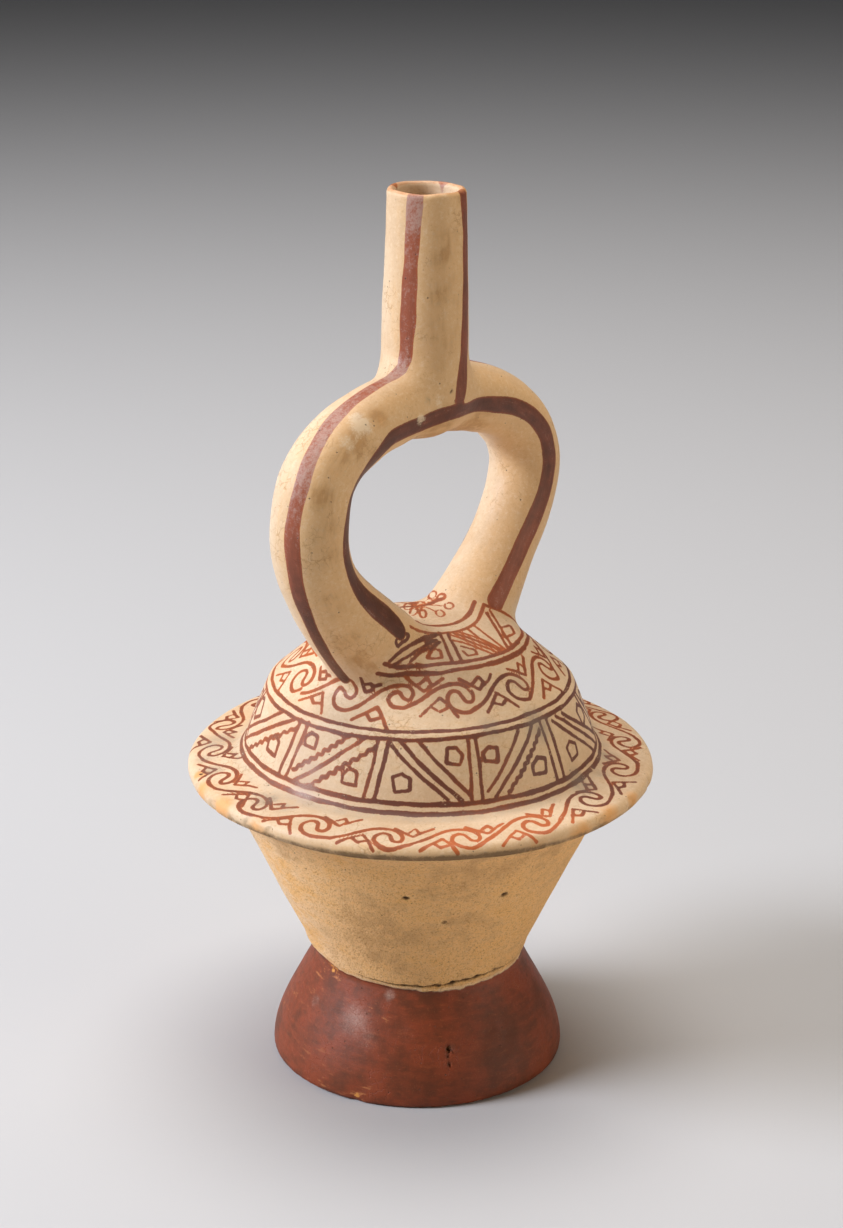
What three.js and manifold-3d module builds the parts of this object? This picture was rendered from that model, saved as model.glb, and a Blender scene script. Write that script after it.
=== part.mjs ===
// Stirrup spout vessel: one hollow piece of fired clay, in millimetres, +Z up.
// The origin is the centre of the foot ring's underside and the stirrup lies in the XZ plane.
// A flaring ring foot carries a cone that widens to a flange, a dome closes the chamber above it,
// and a hollow stirrup rises from the dome to a single spout.
import * as THREE from 'three';
import { mergeVertices } from 'three/addons/utils/BufferGeometryUtils.js';
import Module from 'manifold-3d';

// Ring foot
const footHeight = 37.2;
const footRadius = 50.2;
const footEdgeRound = 1.6;
const footWall = 5.5;
const footBulge = 3.8;
const waistRadius = 35.5;

// Cone, from the waist to the underside of the flange
const coneHeight = 65.4;
const coneWall = 5;
const bodyRadius = 61;
const flareHeight = 11.6;
const floorThickness = 6;
const hollowRound = 4;

// Flange, where the cone and the dome meet
const flangeWidth = 17.4;
const flangeThickness = 6;
const flangeTopRise = 1.6;

// Dome, from the top of the flange; its side and crown are shares of the body's radius and its own rise
const domeRise = 48.4;
const domeWall = 4.5;
const domeCornerRound = 3.4;
const domeBulge = { out: 4.2, drop: 9 };
const domeSide = { width: 0.84, rise: 0.535 };
const domeCrown = { width: 0.54, rise: 0.862 };

// Stirrup: the two legs stand out from the axis by their own reach, at the foot and where they are widest
const stirrupRise = 73.8;
const stirrupShift = { x: 0.8, y: -0.6 };
const stirrupWall = 3.6;
const legRadius = 12.1;
const archRadius = 11.5;
const crownSwell = 1.7;
const crownSwellWidth = 14;
const legFootDrop = 9;
const legWideShare = 0.57;
const nearLeg = {
  side: -1, footReach: 23, reach: 61, footRadius: 16.5, footSpread: 34, spreadEase: 1.1, shoulder: 2.9,
};
const farLeg = {
  side: 1, footReach: 24.4, reach: 58.2, footRadius: 15.5, footSpread: 26, spreadEase: 1.6, shoulder: 1.8,
};

// Spout, set a little off the axis
const spoutLength = 69.2;
const spoutFootRadius = 14.2;
const spoutMouthRadius = 12.5;
const mouthWall = 2.6;
const spoutShift = { x: 0.4, y: -0.5 };

// How far the stirrup's skin and bore start inside the dome, and how far a cut runs past a face
const skinSink = 12;
const boreSink = 14;
const cutPast = 1;

// Facets
const bodySides = 64;
const chamberSides = 36;
const stirrupSides = 18;
const stirrupSteps = 38;
const boreSides = 12;
const boreSteps = 28;
const spoutSides = 20;

// Heights that follow from the sizes above
const flangeUnder = footHeight + coneHeight;
const flangeTop = flangeUnder + flangeThickness;
const domeFoot = flangeTop + flangeTopRise;
const domeTop = flangeTop + domeRise;
const crown = domeTop + stirrupRise;
const spoutTop = crown + spoutLength;
const legFoot = domeTop - legFootDrop;
const legWide = domeTop + stirrupRise * legWideShare;
const shoulder = flangeUnder - flareHeight;
const coneSlope = (bodyRadius - waistRadius) / (shoulder - footHeight);

const clay = new THREE.MeshStandardMaterial({ color: 0xd9b98c, roughness: 0.62, metalness: 0 });

const wasm = await Module();
wasm.setup();

// A closed three.js geometry as a solid that can be joined and cut
function solidOf(geometry) {
  geometry.deleteAttribute('normal');
  geometry.deleteAttribute('uv');
  const merged = mergeVertices(geometry, 1e-4);
  return new wasm.Manifold(new wasm.Mesh({
    numProp: 3,
    vertProperties: new Float32Array(merged.attributes.position.array),
    triVerts: new Uint32Array(merged.index.array),
  }));
}

function geometryOf(solid) {
  const mesh = solid.getMesh();
  const geometry = new THREE.BufferGeometry();
  geometry.setAttribute('position', new THREE.BufferAttribute(mesh.vertProperties, 3));
  geometry.setIndex(new THREE.BufferAttribute(mesh.triVerts, 1));
  geometry.computeVertexNormals();
  return geometry;
}

// Points (radius, height) along a chain of curves, each curve starting where the last one ended
function outline(...pieces) {
  const points = [];
  for (const [curve, steps] of pieces) {
    for (const point of curve.getPoints(steps)) {
      const last = points.at(-1);
      if (!last || last.distanceTo(point) > 1e-3) points.push(point);
    }
  }
  return points;
}

const at = (radius, height) => new THREE.Vector2(radius, height);
const line = (from, to) => [new THREE.LineCurve(from, to), 1];
const bend = (steps, from, pull, to) => [new THREE.QuadraticBezierCurve(from, pull, to), steps];
const longBend = (steps, from, pullFrom, pullTo, to) =>
  [new THREE.CubicBezierCurve(from, pullFrom, pullTo, to), steps];

// A solid of revolution about Z
function turned(points, sides) {
  const geometry = new THREE.LatheGeometry(points, sides);
  geometry.rotateX(Math.PI / 2);
  return solidOf(geometry);
}

// A place on the dome, given its share of the radius and of the rise, moved in by a wall
const onDome = ({ width, rise }, wall) =>
  at(bodyRadius * width - wall, flangeTop + domeRise * rise - wall * rise);

// The body's outer skin with the foot under it, still filled
function bodySkin() {
  const footEdge = at(footRadius, footEdgeRound);
  const waist = at(waistRadius, footHeight);
  const coneTop = at(bodyRadius, shoulder);
  const flangeRadius = bodyRadius + flangeWidth;
  const rimRound = flangeThickness / 2;
  const rim = new THREE.EllipseCurve(flangeRadius - rimRound, flangeUnder + rimRound, rimRound, rimRound,
    -Math.PI / 2, Math.PI / 2);
  const domeCorner = at(bodyRadius + domeCornerRound, domeFoot);
  const domeStart = at(bodyRadius - domeCornerRound / 2, domeFoot + domeCornerRound);
  const side = onDome(domeSide, 0);
  const shoulderOfDome = onDome(domeCrown, 0);
  return turned(outline(
    line(at(0, 0), at(footRadius - footEdgeRound, 0)),
    bend(2, at(footRadius - footEdgeRound, 0), at(footRadius, 0), footEdge),
    longBend(7, footEdge, at(footRadius, footHeight * 0.34), at(waistRadius + footBulge, footHeight * 0.74), waist),
    line(waist, coneTop),
    bend(4, coneTop, at(bodyRadius + coneSlope * flareHeight * 0.8, flangeUnder - flareHeight * 0.25),
      at(flangeRadius - rimRound, flangeUnder)),
    [rim, 5],
    line(at(flangeRadius - rimRound, flangeTop), domeCorner),
    bend(3, domeCorner, at(bodyRadius, domeFoot), domeStart),
    bend(4, domeStart, at(side.x + domeBulge.out, side.y - domeBulge.drop), side),
    line(side, shoulderOfDome),
    bend(4, shoulderOfDome, at(shoulderOfDome.x * 0.52, domeTop), at(0, domeTop)),
  ), bodySides);
}

// The space inside the chamber, from the floor over the foot to the underside of the dome
function chamber() {
  const floor = footHeight + floorThickness;
  const floorRadius = waistRadius + coneSlope * floorThickness - coneWall;
  const coneTop = at(bodyRadius - coneWall, shoulder);
  const domeStart = at(bodyRadius - domeWall, domeFoot);
  const side = onDome(domeSide, domeWall);
  const crownRing = onDome(domeCrown, domeWall);
  const top = domeTop - domeWall;
  return turned(outline(
    line(at(0, floor), at(floorRadius - hollowRound, floor)),
    bend(2, at(floorRadius - hollowRound, floor), at(floorRadius, floor),
      at(floorRadius + coneSlope * hollowRound, floor + hollowRound)),
    line(at(floorRadius + coneSlope * hollowRound, floor + hollowRound), coneTop),
    bend(2, coneTop, at(bodyRadius - domeWall, shoulder + flareHeight / 2), domeStart),
    bend(3, domeStart, at(side.x + domeBulge.out, side.y - domeBulge.drop), side),
    line(side, crownRing),
    bend(3, crownRing, at(crownRing.x * 0.5, top), at(0, top)),
  ), chamberSides);
}

// The hollow under the floor, open below
function footHollow() {
  const mouthRadius = footRadius - footWall;
  const topRadius = waistRadius - footWall;
  const side = at(topRadius, footHeight - hollowRound);
  return turned(outline(
    line(at(0, -cutPast), at(mouthRadius, -cutPast)),
    longBend(5, at(mouthRadius, -cutPast), at(mouthRadius, footHeight * 0.34),
      at(topRadius + footBulge, footHeight * 0.72), side),
    bend(2, side, at(topRadius, footHeight), at(topRadius - hollowRound, footHeight)),
    line(at(topRadius - hollowRound, footHeight), at(0, footHeight)),
  ), chamberSides);
}

// One leg's centre line, from inside the dome up to where it is widest and over its shoulder
function legLine({ side, footReach, reach, shoulder: squareness }, sink) {
  const place = (out, height) => new THREE.Vector3(side * out, 0, height);
  const belly = legWide - legFoot;
  const leg = new THREE.CubicBezierCurve3(
    place(footReach, legFoot),
    place(footReach + (reach - footReach) * 0.42, legFoot + belly * 0.34),
    place(reach, legFoot + belly * 0.64),
    place(reach, legWide),
  );
  const start = place(footReach - sink * 0.45, legFoot - sink);
  const arch = [22, 40, 56, 70, 82].map((degrees) => {
    const turn = THREE.MathUtils.degToRad(degrees);
    const out = reach * Math.cos(turn) ** (2 / squareness);
    return place(out, legWide + (crown - legWide) * Math.sin(turn) ** (2 / squareness));
  });
  return [start, ...leg.getPoints(4), ...arch];
}

function stirrupLine(sink) {
  const top = new THREE.Vector3(0, 0, crown);
  return new THREE.CatmullRomCurve3(
    [...legLine(nearLeg, sink), top, ...legLine(farLeg, sink).reverse()], false, 'centripetal');
}

// Radius of the stirrup's skin at a place on its centre line: each leg spreads where it meets the dome
function stirrupRadius({ x, z }) {
  const { footRadius: spreadTo, footSpread, spreadEase } = x < 0 ? nearLeg : farLeg;
  const spread = THREE.MathUtils.clamp((legFoot + footSpread - z) / footSpread, 0, 1.2);
  const rise = THREE.MathUtils.smoothstep(z, legWide, crown);
  const swell = z > legWide ? crownSwell * Math.exp(-((x / crownSwellWidth) ** 2)) : 0;
  return THREE.MathUtils.lerp(legRadius, archRadius, rise) + (spreadTo - legRadius) * spread ** spreadEase + swell;
}

// Radius of the bore at the same place
const boreRadius = (place) => Math.min(stirrupRadius(place), legRadius) - stirrupWall;

// A tube with closed ends along a line in the XZ plane, with its own radius at each step
function tube(route, steps, sides, radiusAt) {
  const places = [];
  const faces = [];
  for (let step = 0; step <= steps; step++) {
    const centre = route.getPointAt(step / steps);
    const ahead = route.getTangentAt(step / steps);
    const out = new THREE.Vector3(ahead.z, 0, -ahead.x);
    const radius = radiusAt(centre);
    for (let side = 0; side < sides; side++) {
      const angle = (side / sides) * Math.PI * 2;
      const rim = out.clone().multiplyScalar(radius * Math.cos(angle)).add(centre);
      places.push(rim.x, radius * Math.sin(angle), rim.z);
      if (step < steps) {
        const here = step * sides + side;
        const next = step * sides + ((side + 1) % sides);
        faces.push(here, next, here + sides, next, next + sides, here + sides);
      }
    }
  }
  const last = steps * sides;
  for (let side = 1; side < sides - 1; side++) {
    faces.push(0, side + 1, side, last, last + side, last + side + 1);
  }
  const geometry = new THREE.BufferGeometry();
  geometry.setAttribute('position', new THREE.Float32BufferAttribute(places, 3));
  geometry.setIndex(faces);
  return solidOf(geometry);
}

const stirrupTube = (sink, steps, sides, radiusAt) =>
  tube(stirrupLine(sink), steps, sides, radiusAt).translate(stirrupShift.x, stirrupShift.y, 0);

// The spout's skin: its foot sinks into the crown of the arch and its lip is rounded
function spoutSkin() {
  const joint = crown + archRadius + crownSwell;
  const sunk = crown - archRadius * 0.3;
  const lip = mouthWall * 0.4;
  return turned(outline(
    line(at(0, sunk), at(archRadius * 0.8, sunk)),
    bend(3, at(archRadius * 0.8, sunk), at(spoutFootRadius, crown), at(spoutFootRadius, joint)),
    line(at(spoutFootRadius, joint), at(spoutMouthRadius, spoutTop - lip)),
    bend(2, at(spoutMouthRadius, spoutTop - lip), at(spoutMouthRadius, spoutTop),
      at(spoutMouthRadius - lip, spoutTop)),
    line(at(spoutMouthRadius - lip, spoutTop), at(0, spoutTop)),
  ), spoutSides).translate(spoutShift.x, spoutShift.y, 0);
}

// The spout's bore, from the stirrup's bore to just above the lip
function spoutBore() {
  const bottom = crown - (archRadius - stirrupWall) * 0.5;
  const bottomRadius = (archRadius - stirrupWall) * 0.87;
  const joint = crown + archRadius;
  const mouthRadius = spoutMouthRadius - mouthWall;
  return turned(outline(
    line(at(0, bottom), at(bottomRadius, bottom)),
    line(at(bottomRadius, bottom), at(spoutFootRadius - stirrupWall, joint)),
    line(at(spoutFootRadius - stirrupWall, joint), at(mouthRadius, spoutTop - mouthWall)),
    line(at(mouthRadius, spoutTop - mouthWall), at(mouthRadius + mouthWall * 0.2, spoutTop + cutPast)),
    line(at(mouthRadius + mouthWall * 0.2, spoutTop + cutPast), at(0, spoutTop + cutPast)),
  ), spoutSides).translate(spoutShift.x, spoutShift.y, 0);
}

function vesselSolid() {
  return bodySkin()
    .add(stirrupTube(skinSink, stirrupSteps, stirrupSides, stirrupRadius))
    .add(spoutSkin())
    .subtract(chamber())
    .subtract(stirrupTube(boreSink, boreSteps, boreSides, boreRadius))
    .subtract(spoutBore())
    .subtract(footHollow());
}

const vessel = new THREE.Mesh(geometryOf(vesselSolid()), clay);
vessel.name = 'vessel';

const group = new THREE.Group();
group.add(vessel);

export default group;
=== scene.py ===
"""Stirrup spout vessel: the painted clay skin, the floor, the lights and the camera."""

import math

import bpy
import numpy as np
from mathutils import Matrix, Vector, kdtree, noise


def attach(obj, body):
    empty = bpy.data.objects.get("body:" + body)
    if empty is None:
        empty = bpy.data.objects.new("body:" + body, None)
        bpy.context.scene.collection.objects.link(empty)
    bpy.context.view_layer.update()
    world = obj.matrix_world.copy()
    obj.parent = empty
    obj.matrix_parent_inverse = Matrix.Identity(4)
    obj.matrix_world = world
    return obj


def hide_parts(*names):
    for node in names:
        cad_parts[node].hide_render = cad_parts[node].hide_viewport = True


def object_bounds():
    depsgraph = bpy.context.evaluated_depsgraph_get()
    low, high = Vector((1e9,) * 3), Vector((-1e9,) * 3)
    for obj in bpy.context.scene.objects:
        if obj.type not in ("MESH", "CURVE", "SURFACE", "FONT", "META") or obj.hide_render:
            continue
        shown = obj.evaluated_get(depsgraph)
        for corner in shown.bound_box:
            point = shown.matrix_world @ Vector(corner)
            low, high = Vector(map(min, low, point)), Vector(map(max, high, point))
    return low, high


bl_info = {
    "name": "Stirrup spout vessel",
    "version": (1, 0, 0),
    "blender": (4, 5, 0),
    "location": "3D View > Sidebar > Vessel",
    "description": "Models a painted stirrup spout vessel of fired clay and the stage it is shown on",
    "category": "Mesh",
}

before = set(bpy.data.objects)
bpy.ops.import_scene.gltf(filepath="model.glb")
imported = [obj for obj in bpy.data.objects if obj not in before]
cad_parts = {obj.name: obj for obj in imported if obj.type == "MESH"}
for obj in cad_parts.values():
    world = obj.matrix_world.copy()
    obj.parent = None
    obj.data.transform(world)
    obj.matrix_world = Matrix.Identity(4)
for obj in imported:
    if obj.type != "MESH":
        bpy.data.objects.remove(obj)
CAD_LOW, CAD_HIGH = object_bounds()
MM = 0.001


def size(name, description, default):
    """A length that a user may change, given in millimetres."""
    return bpy.props.FloatProperty(name=name, description=description, default=default * MM, unit="LENGTH")


def share(name, description, default):
    return bpy.props.FloatProperty(name=name, description=description, default=default, min=0.0, max=4.0)


def colour(name, description, default):
    return bpy.props.FloatVectorProperty(
        name=name, description=description, default=default, size=3, subtype="COLOR", min=0.0, max=1.0
    )


class VesselShape(bpy.types.PropertyGroup):
    """The vessel's sizes, the same ones that its solid is made from."""

    foot_height: size("Foot height", "From the foot's edge up to the waist", 37.2)
    foot_radius: size("Foot radius", "Outer radius of the ring foot at its edge", 50.2)
    foot_edge_round: size("Foot edge round", "Rounding of the foot's outer lower edge", 1.6)
    foot_wall: size("Foot wall", "Thickness of the ring foot's wall", 5.5)
    foot_bulge: size("Foot bulge", "How far the foot swells outside a straight flare", 3.8)
    waist_radius: size("Waist radius", "Radius where the foot meets the cone", 35.5)
    cone_height: size("Cone height", "From the waist up to the underside of the flange", 65.4)
    body_radius: size("Body radius", "Radius of the body where the flange leaves it", 61.0)
    flare_height: size("Flare height", "Height over which the cone flares into the flange", 11.6)
    flange_width: size("Flange width", "How far the flange stands out from the body", 17.4)
    flange_thickness: size("Flange thickness", "Thickness of the flange at its rim", 6.0)
    flange_top_rise: size("Flange top rise", "Rise of the flange's top towards the dome", 1.6)
    dome_rise: size("Dome rise", "From the flange's top up to the dome's top", 48.4)
    dome_corner_round: size("Dome corner round", "Rounding of the corner between flange and dome", 3.4)
    dome_bulge_out: size("Dome bulge", "How far the dome's lower side swells", 4.2)
    dome_bulge_drop: size("Dome bulge drop", "How far under the dome's shoulder the swelling sits", 9.0)
    dome_side_width: share("Dome side width", "Radius at the dome's side, of the body radius", 0.84)
    dome_side_rise: share("Dome side rise", "Height of the dome's side, of the dome's rise", 0.535)
    dome_crown_width: share("Dome crown width", "Radius at the dome's crown, of the body radius", 0.54)
    dome_crown_rise: share("Dome crown rise", "Height of the dome's crown, of the dome's rise", 0.862)
    stirrup_rise: size("Stirrup rise", "From the dome's top up to the crown of the arch", 73.8)
    stirrup_wall: size("Stirrup wall", "Wall of the stirrup's tube", 3.6)
    leg_radius: size("Leg radius", "Radius of each leg of the stirrup", 12.1)
    arch_radius: size("Arch radius", "Radius of the stirrup's arch", 11.5)
    crown_swell: size("Crown swell", "Swelling of the arch under the spout", 1.7)
    leg_foot_drop: size("Leg foot drop", "How far under the dome's top the legs stand", 9.0)
    spout_length: size("Spout length", "From the crown of the arch up to the lip", 69.2)
    spout_foot_radius: size("Spout foot radius", "Radius of the spout over the arch", 14.2)
    spout_mouth_radius: size("Spout mouth radius", "Outer radius of the spout's mouth", 12.5)
    mouth_wall: size("Mouth wall", "Wall of the spout at its lip", 2.6)
    hand_swing: size("Hand swing", "How far the hand-made surface swings in and out", 0.5)
    grain: size("Mesh size", "Distance between points on the plain parts of the skin", 3.0)


class VesselSlips(bpy.types.PropertyGroup):
    """The colours of the clay and of its slips."""

    cream: colour("Cream slip", "Slip of the dome, stirrup and spout", (0.76, 0.575, 0.38))
    cream_deep: colour("Thin cream slip", "Cream slip where it is thin and yellower", (0.68, 0.46, 0.265))
    cream_pale: colour("Pale cream slip", "Lightest flecks of the cream slip", (0.87, 0.67, 0.44))
    # Painted shade: the yellower, darker slip drawn on the sides that face right and forwards
    tan: colour("Handled slip", "Slip and clay on the side that is yellowed by handling", (0.75, 0.435, 0.18))
    # This golden brown also paints shade under the arch
    soil_and_shade: colour("Soil", "Golden brown of handling on the cream slip", (0.46, 0.225, 0.07))
    # Dark olive-brown dirt in the pits, and painted shade under the flange's rim
    grime_and_shade: colour("Grime", "Dark olive-brown dirt under the rim and in the pits", (0.17, 0.09, 0.03))
    # This grey also paints shade in the corner at the dome's foot and at the near leg's foot
    ash_and_shade: colour("Grey soil", "Grey dirt in the corners and on the paint", (0.21, 0.17, 0.13))
    stain: colour("Stain", "Orange stains and worn paint", (0.78, 0.33, 0.07))
    milk: colour("Milky bloom", "Whitish film on worn paint", (0.54, 0.38, 0.30))
    buff: colour("Buff clay", "Bare clay of the cone", (0.90, 0.68, 0.45))
    # The deep buff also paints shade on the cone's sides that face right and forwards
    buff_deep: colour("Deep buff clay", "Darker patches of the cone", (0.84, 0.45, 0.15))
    line_light: colour("Light line", "Brush lines where the slip is thin", (0.52, 0.115, 0.024))
    line_dark: colour("Dark line", "Brush lines where the slip is thick", (0.135, 0.036, 0.022))
    stripe: colour("Stripe", "Wide stripes where the slip is red", (0.335, 0.09, 0.042))
    stripe_deep: colour("Deep stripe", "Darkest parts of the wide stripes", (0.10, 0.035, 0.019))
    foot: colour("Foot slip", "Red slip of the foot", (0.27, 0.054, 0.018))
    foot_deep: colour("Deep foot slip", "Darker patches of the foot", (0.135, 0.036, 0.013))
    foot_pale: colour("Worn foot slip", "Worn flecks of the foot", (0.54, 0.20, 0.065))
    inner: colour("Inner clay", "Clay inside the vessel and under its foot", (0.50, 0.28, 0.12))
    pore: colour("Pore", "Small dark pits", (0.09, 0.05, 0.025))


# The two legs: side of the axis, reach at the foot and where widest, foot radius, height over which the foot
# spreads and how evenly it does, squareness of the shoulder
LEGS = (
    (-1, 23.0 * MM, 61.0 * MM, 16.5 * MM, 34 * MM, 1.1, 2.9),
    (1, 24.4 * MM, 58.2 * MM, 15.5 * MM, 26 * MM, 1.6, 1.8),
)
STIRRUP_SHIFT = Vector((0.8, -0.6, 0.0)) * MM
SPOUT_SHIFT = Vector((0.4, -0.5, 0.0)) * MM
LEG_WIDE_SHARE = 0.57
# Unseen walls, and the grain of the inner wall's mesh
CONE_WALL, DOME_WALL, FLOOR = 5.0 * MM, 4.5 * MM, 6.0 * MM
INNER_GRAIN = 3.2 * MM
# How far the clay is smoothed where the legs and the spout are joined on, outside and inside
LEG_FILLET, SPOUT_FILLET, INNER_FILLET = 5.5 * MM, 7 * MM, 4 * MM
# Steps of the outline down the cone, and on round the foot's outside
CONE_STEPS, FOOT_STEPS = 50, 34


class Form:
    """Heights and outlines of the vessel, worked out from its sizes."""

    def __init__(self, shape):
        self.s = shape
        self.flange_under = shape.foot_height + shape.cone_height
        self.flange_top = self.flange_under + shape.flange_thickness
        self.dome_foot = self.flange_top + shape.flange_top_rise
        self.dome_top = self.flange_top + shape.dome_rise
        self.crown = self.dome_top + shape.stirrup_rise
        self.spout_top = self.crown + shape.spout_length
        self.leg_foot = self.dome_top - shape.leg_foot_drop
        self.leg_wide = self.dome_top + shape.stirrup_rise * LEG_WIDE_SHARE
        self.shoulder = self.flange_under - shape.flare_height
        self.flange_radius = shape.body_radius + shape.flange_width
        self.cone_slope = (shape.body_radius - shape.waist_radius) / (self.shoulder - shape.foot_height)

    def on_dome(self, width, rise, wall=0.0):
        return (
            self.s.body_radius * width - wall,
            self.flange_top + self.s.dome_rise * rise - wall * rise,
        )

    def dome_outline(self):
        """(radius, height) from the dome's top out to the flange's rim and under it to the cone."""
        s = self.s
        crown = self.on_dome(s.dome_crown_width, s.dome_crown_rise)
        side = self.on_dome(s.dome_side_width, s.dome_side_rise)
        corner = s.dome_corner_round
        start = (s.body_radius - corner / 2, self.dome_foot + corner)
        foot = (s.body_radius + corner, self.dome_foot)
        round_rim = s.flange_thickness / 2
        rim = (self.flange_radius - round_rim, self.flange_under + round_rim)
        cone_top = (s.body_radius, self.shoulder)
        flare = (
            s.body_radius + self.cone_slope * s.flare_height * 0.8,
            self.flange_under - s.flare_height * 0.25,
        )
        return outline(
            bend(36, (0.0, self.dome_top), (crown[0] * 0.52, self.dome_top), crown),
            straight(24, crown, side),
            bend(30, side, (side[0] + s.dome_bulge_out, side[1] - s.dome_bulge_drop), start),
            bend(10, start, (s.body_radius, self.dome_foot), foot),
            straight(16, foot, (rim[0], self.flange_top)),
            arc(14, rim, round_rim, 90, -90),
            bend(18, (rim[0], self.flange_under), flare, cone_top),
        )

    def foot_outline(self):
        """(radius, height) from the cone down over the waist and round the ring foot to the hollow's top."""
        s = self.s
        waist = (s.waist_radius, s.foot_height)
        edge = (s.foot_radius, s.foot_edge_round)
        under = (s.foot_radius - s.foot_edge_round, 0.0)
        inner_edge = (s.foot_radius - s.foot_wall, 0.0)
        top_radius = s.waist_radius - s.foot_wall
        round_top = 4.0 * MM
        return outline(
            straight(CONE_STEPS, (s.body_radius, self.shoulder), waist),
            long_bend(
                FOOT_STEPS, waist, (s.waist_radius + s.foot_bulge, s.foot_height * 0.74),
                (s.foot_radius, s.foot_height * 0.34), edge,
            ),
            bend(5, edge, (s.foot_radius, 0.0), under),
            straight(2, under, inner_edge),
            long_bend(
                20, inner_edge, (inner_edge[0], s.foot_height * 0.34),
                (top_radius + s.foot_bulge, s.foot_height * 0.72), (top_radius, s.foot_height - round_top),
            ),
            bend(
                4, (top_radius, s.foot_height - round_top), (top_radius, s.foot_height),
                (top_radius - round_top, s.foot_height),
            ),
            straight(6, (top_radius - round_top, s.foot_height), (0.0, s.foot_height)),
        )

    def skin_outline(self):
        return outline(self.dome_outline(), self.foot_outline())

    def chamber_outline(self):
        s = self.s
        floor = s.foot_height + FLOOR
        floor_radius = s.waist_radius + self.cone_slope * FLOOR - CONE_WALL
        cone_top = (s.body_radius - CONE_WALL, self.shoulder)
        wall = DOME_WALL
        start = (s.body_radius - wall, self.dome_foot)
        side = self.on_dome(s.dome_side_width, s.dome_side_rise, wall)
        crown = self.on_dome(s.dome_crown_width, s.dome_crown_rise, wall)
        return outline(
            bend(5, (0.0, self.dome_top - wall), (crown[0] * 0.5, self.dome_top - wall), crown),
            straight(3, crown, side),
            bend(5, side, (side[0] + s.dome_bulge_out, side[1] - s.dome_bulge_drop), start),
            bend(3, start, (s.body_radius - wall, self.shoulder + s.flare_height / 2), cone_top),
            straight(8, cone_top, (floor_radius, floor)),
            straight(3, (floor_radius, floor), (0.0, floor)),
        )

    def spout_outline(self):
        """(radius, height) of the spout as a closed blank, sunk into the crown of the arch."""
        s = self.s
        sunk = self.crown - s.arch_radius * 0.3
        joint = self.crown + s.arch_radius + s.crown_swell
        return outline(
            straight(4, (0.0, self.spout_top), (s.spout_mouth_radius, self.spout_top)),
            straight(40, (s.spout_mouth_radius, self.spout_top), (s.spout_foot_radius, joint)),
            bend(
                10, (s.spout_foot_radius, joint), (s.spout_foot_radius, self.crown),
                (s.arch_radius * 0.8, sunk)
            ),
            straight(2, (s.arch_radius * 0.8, sunk), (0.0, sunk)),
        )

    def leg_line(self, leg, sink):
        """One leg's centre line, from inside the dome up over its shoulder, in the XZ plane."""
        side, foot_reach, reach, *_, squareness = leg
        belly = self.leg_wide - self.leg_foot
        rise = long_bend(
            5, (foot_reach, self.leg_foot),
            (foot_reach + (reach - foot_reach) * 0.42, self.leg_foot + belly * 0.34),
            (reach, self.leg_foot + belly * 0.64), (reach, self.leg_wide),
        )
        turns = [math.radians(degrees) for degrees in (22, 40, 56, 70, 82)]
        arch = [
            (
                reach * math.cos(turn) ** (2 / squareness),
                self.leg_wide + (self.crown - self.leg_wide) * math.sin(turn) ** (2 / squareness),
            )
            for turn in turns
        ]
        start = (foot_reach - sink * 0.45, self.leg_foot - sink)
        return [(side * out, height) for out, height in [start, *rise, *arch]]

    def stirrup_line(self, sink=12 * MM, steps=150):
        """Places along the whole stirrup, evenly spaced: an array of (x, y, z)."""
        knots = [*self.leg_line(LEGS[0], sink), (0.0, self.crown), *self.leg_line(LEGS[1], sink)[::-1]]
        knots = np.array([(x, 0.0, z) for x, z in knots])
        return spline(knots, steps) + np.array(STIRRUP_SHIFT)

    def stirrup_radius(self, place):
        """Radius of the stirrup's skin at places on its centre line."""
        s = self.s
        x, z = place[:, 0], place[:, 2]
        foot, reach, ease = (np.where(x < 0, LEGS[0][k], LEGS[1][k]) for k in (3, 4, 5))
        spread = np.clip((self.leg_foot + reach - z) / reach, 0, 1.2)
        rise = smooth(z, self.leg_wide, self.crown)
        swell = np.where(z > self.leg_wide, s.crown_swell * np.exp(-((x / (14 * MM)) ** 2)), 0.0)
        return (
            s.leg_radius + (s.arch_radius - s.leg_radius) * rise + (foot - s.leg_radius) * spread**ease
            + swell
        )


# Curves as lists of points, each with its own number of steps
def straight(steps, start, end):
    return bend(steps, start, ((start[0] + end[0]) / 2, (start[1] + end[1]) / 2), end)


def bend(steps, start, pull, end):
    t = np.linspace(0, 1, steps + 1)[:, None]
    return (1 - t) ** 2 * np.array(start) + 2 * t * (1 - t) * np.array(pull) + t**2 * np.array(end)


def long_bend(steps, start, pull, pull_end, end):
    t = np.linspace(0, 1, steps + 1)[:, None]
    return (
        (1 - t) ** 3 * np.array(start) + 3 * t * (1 - t) ** 2 * np.array(pull)
        + 3 * t**2 * (1 - t) * np.array(pull_end) + t**3 * np.array(end)
    )


def arc(steps, centre, radius, start, end):
    turn = np.radians(np.linspace(start, end, steps + 1))
    return np.stack([centre[0] + radius * np.cos(turn), centre[1] + radius * np.sin(turn)], 1)


def outline(*pieces):
    """One chain of points from several, with no point twice."""
    points = np.concatenate(pieces)
    gaps = np.hypot(*np.diff(points, axis=0).T)
    return points[np.r_[True, gaps > 1e-7]]


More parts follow.
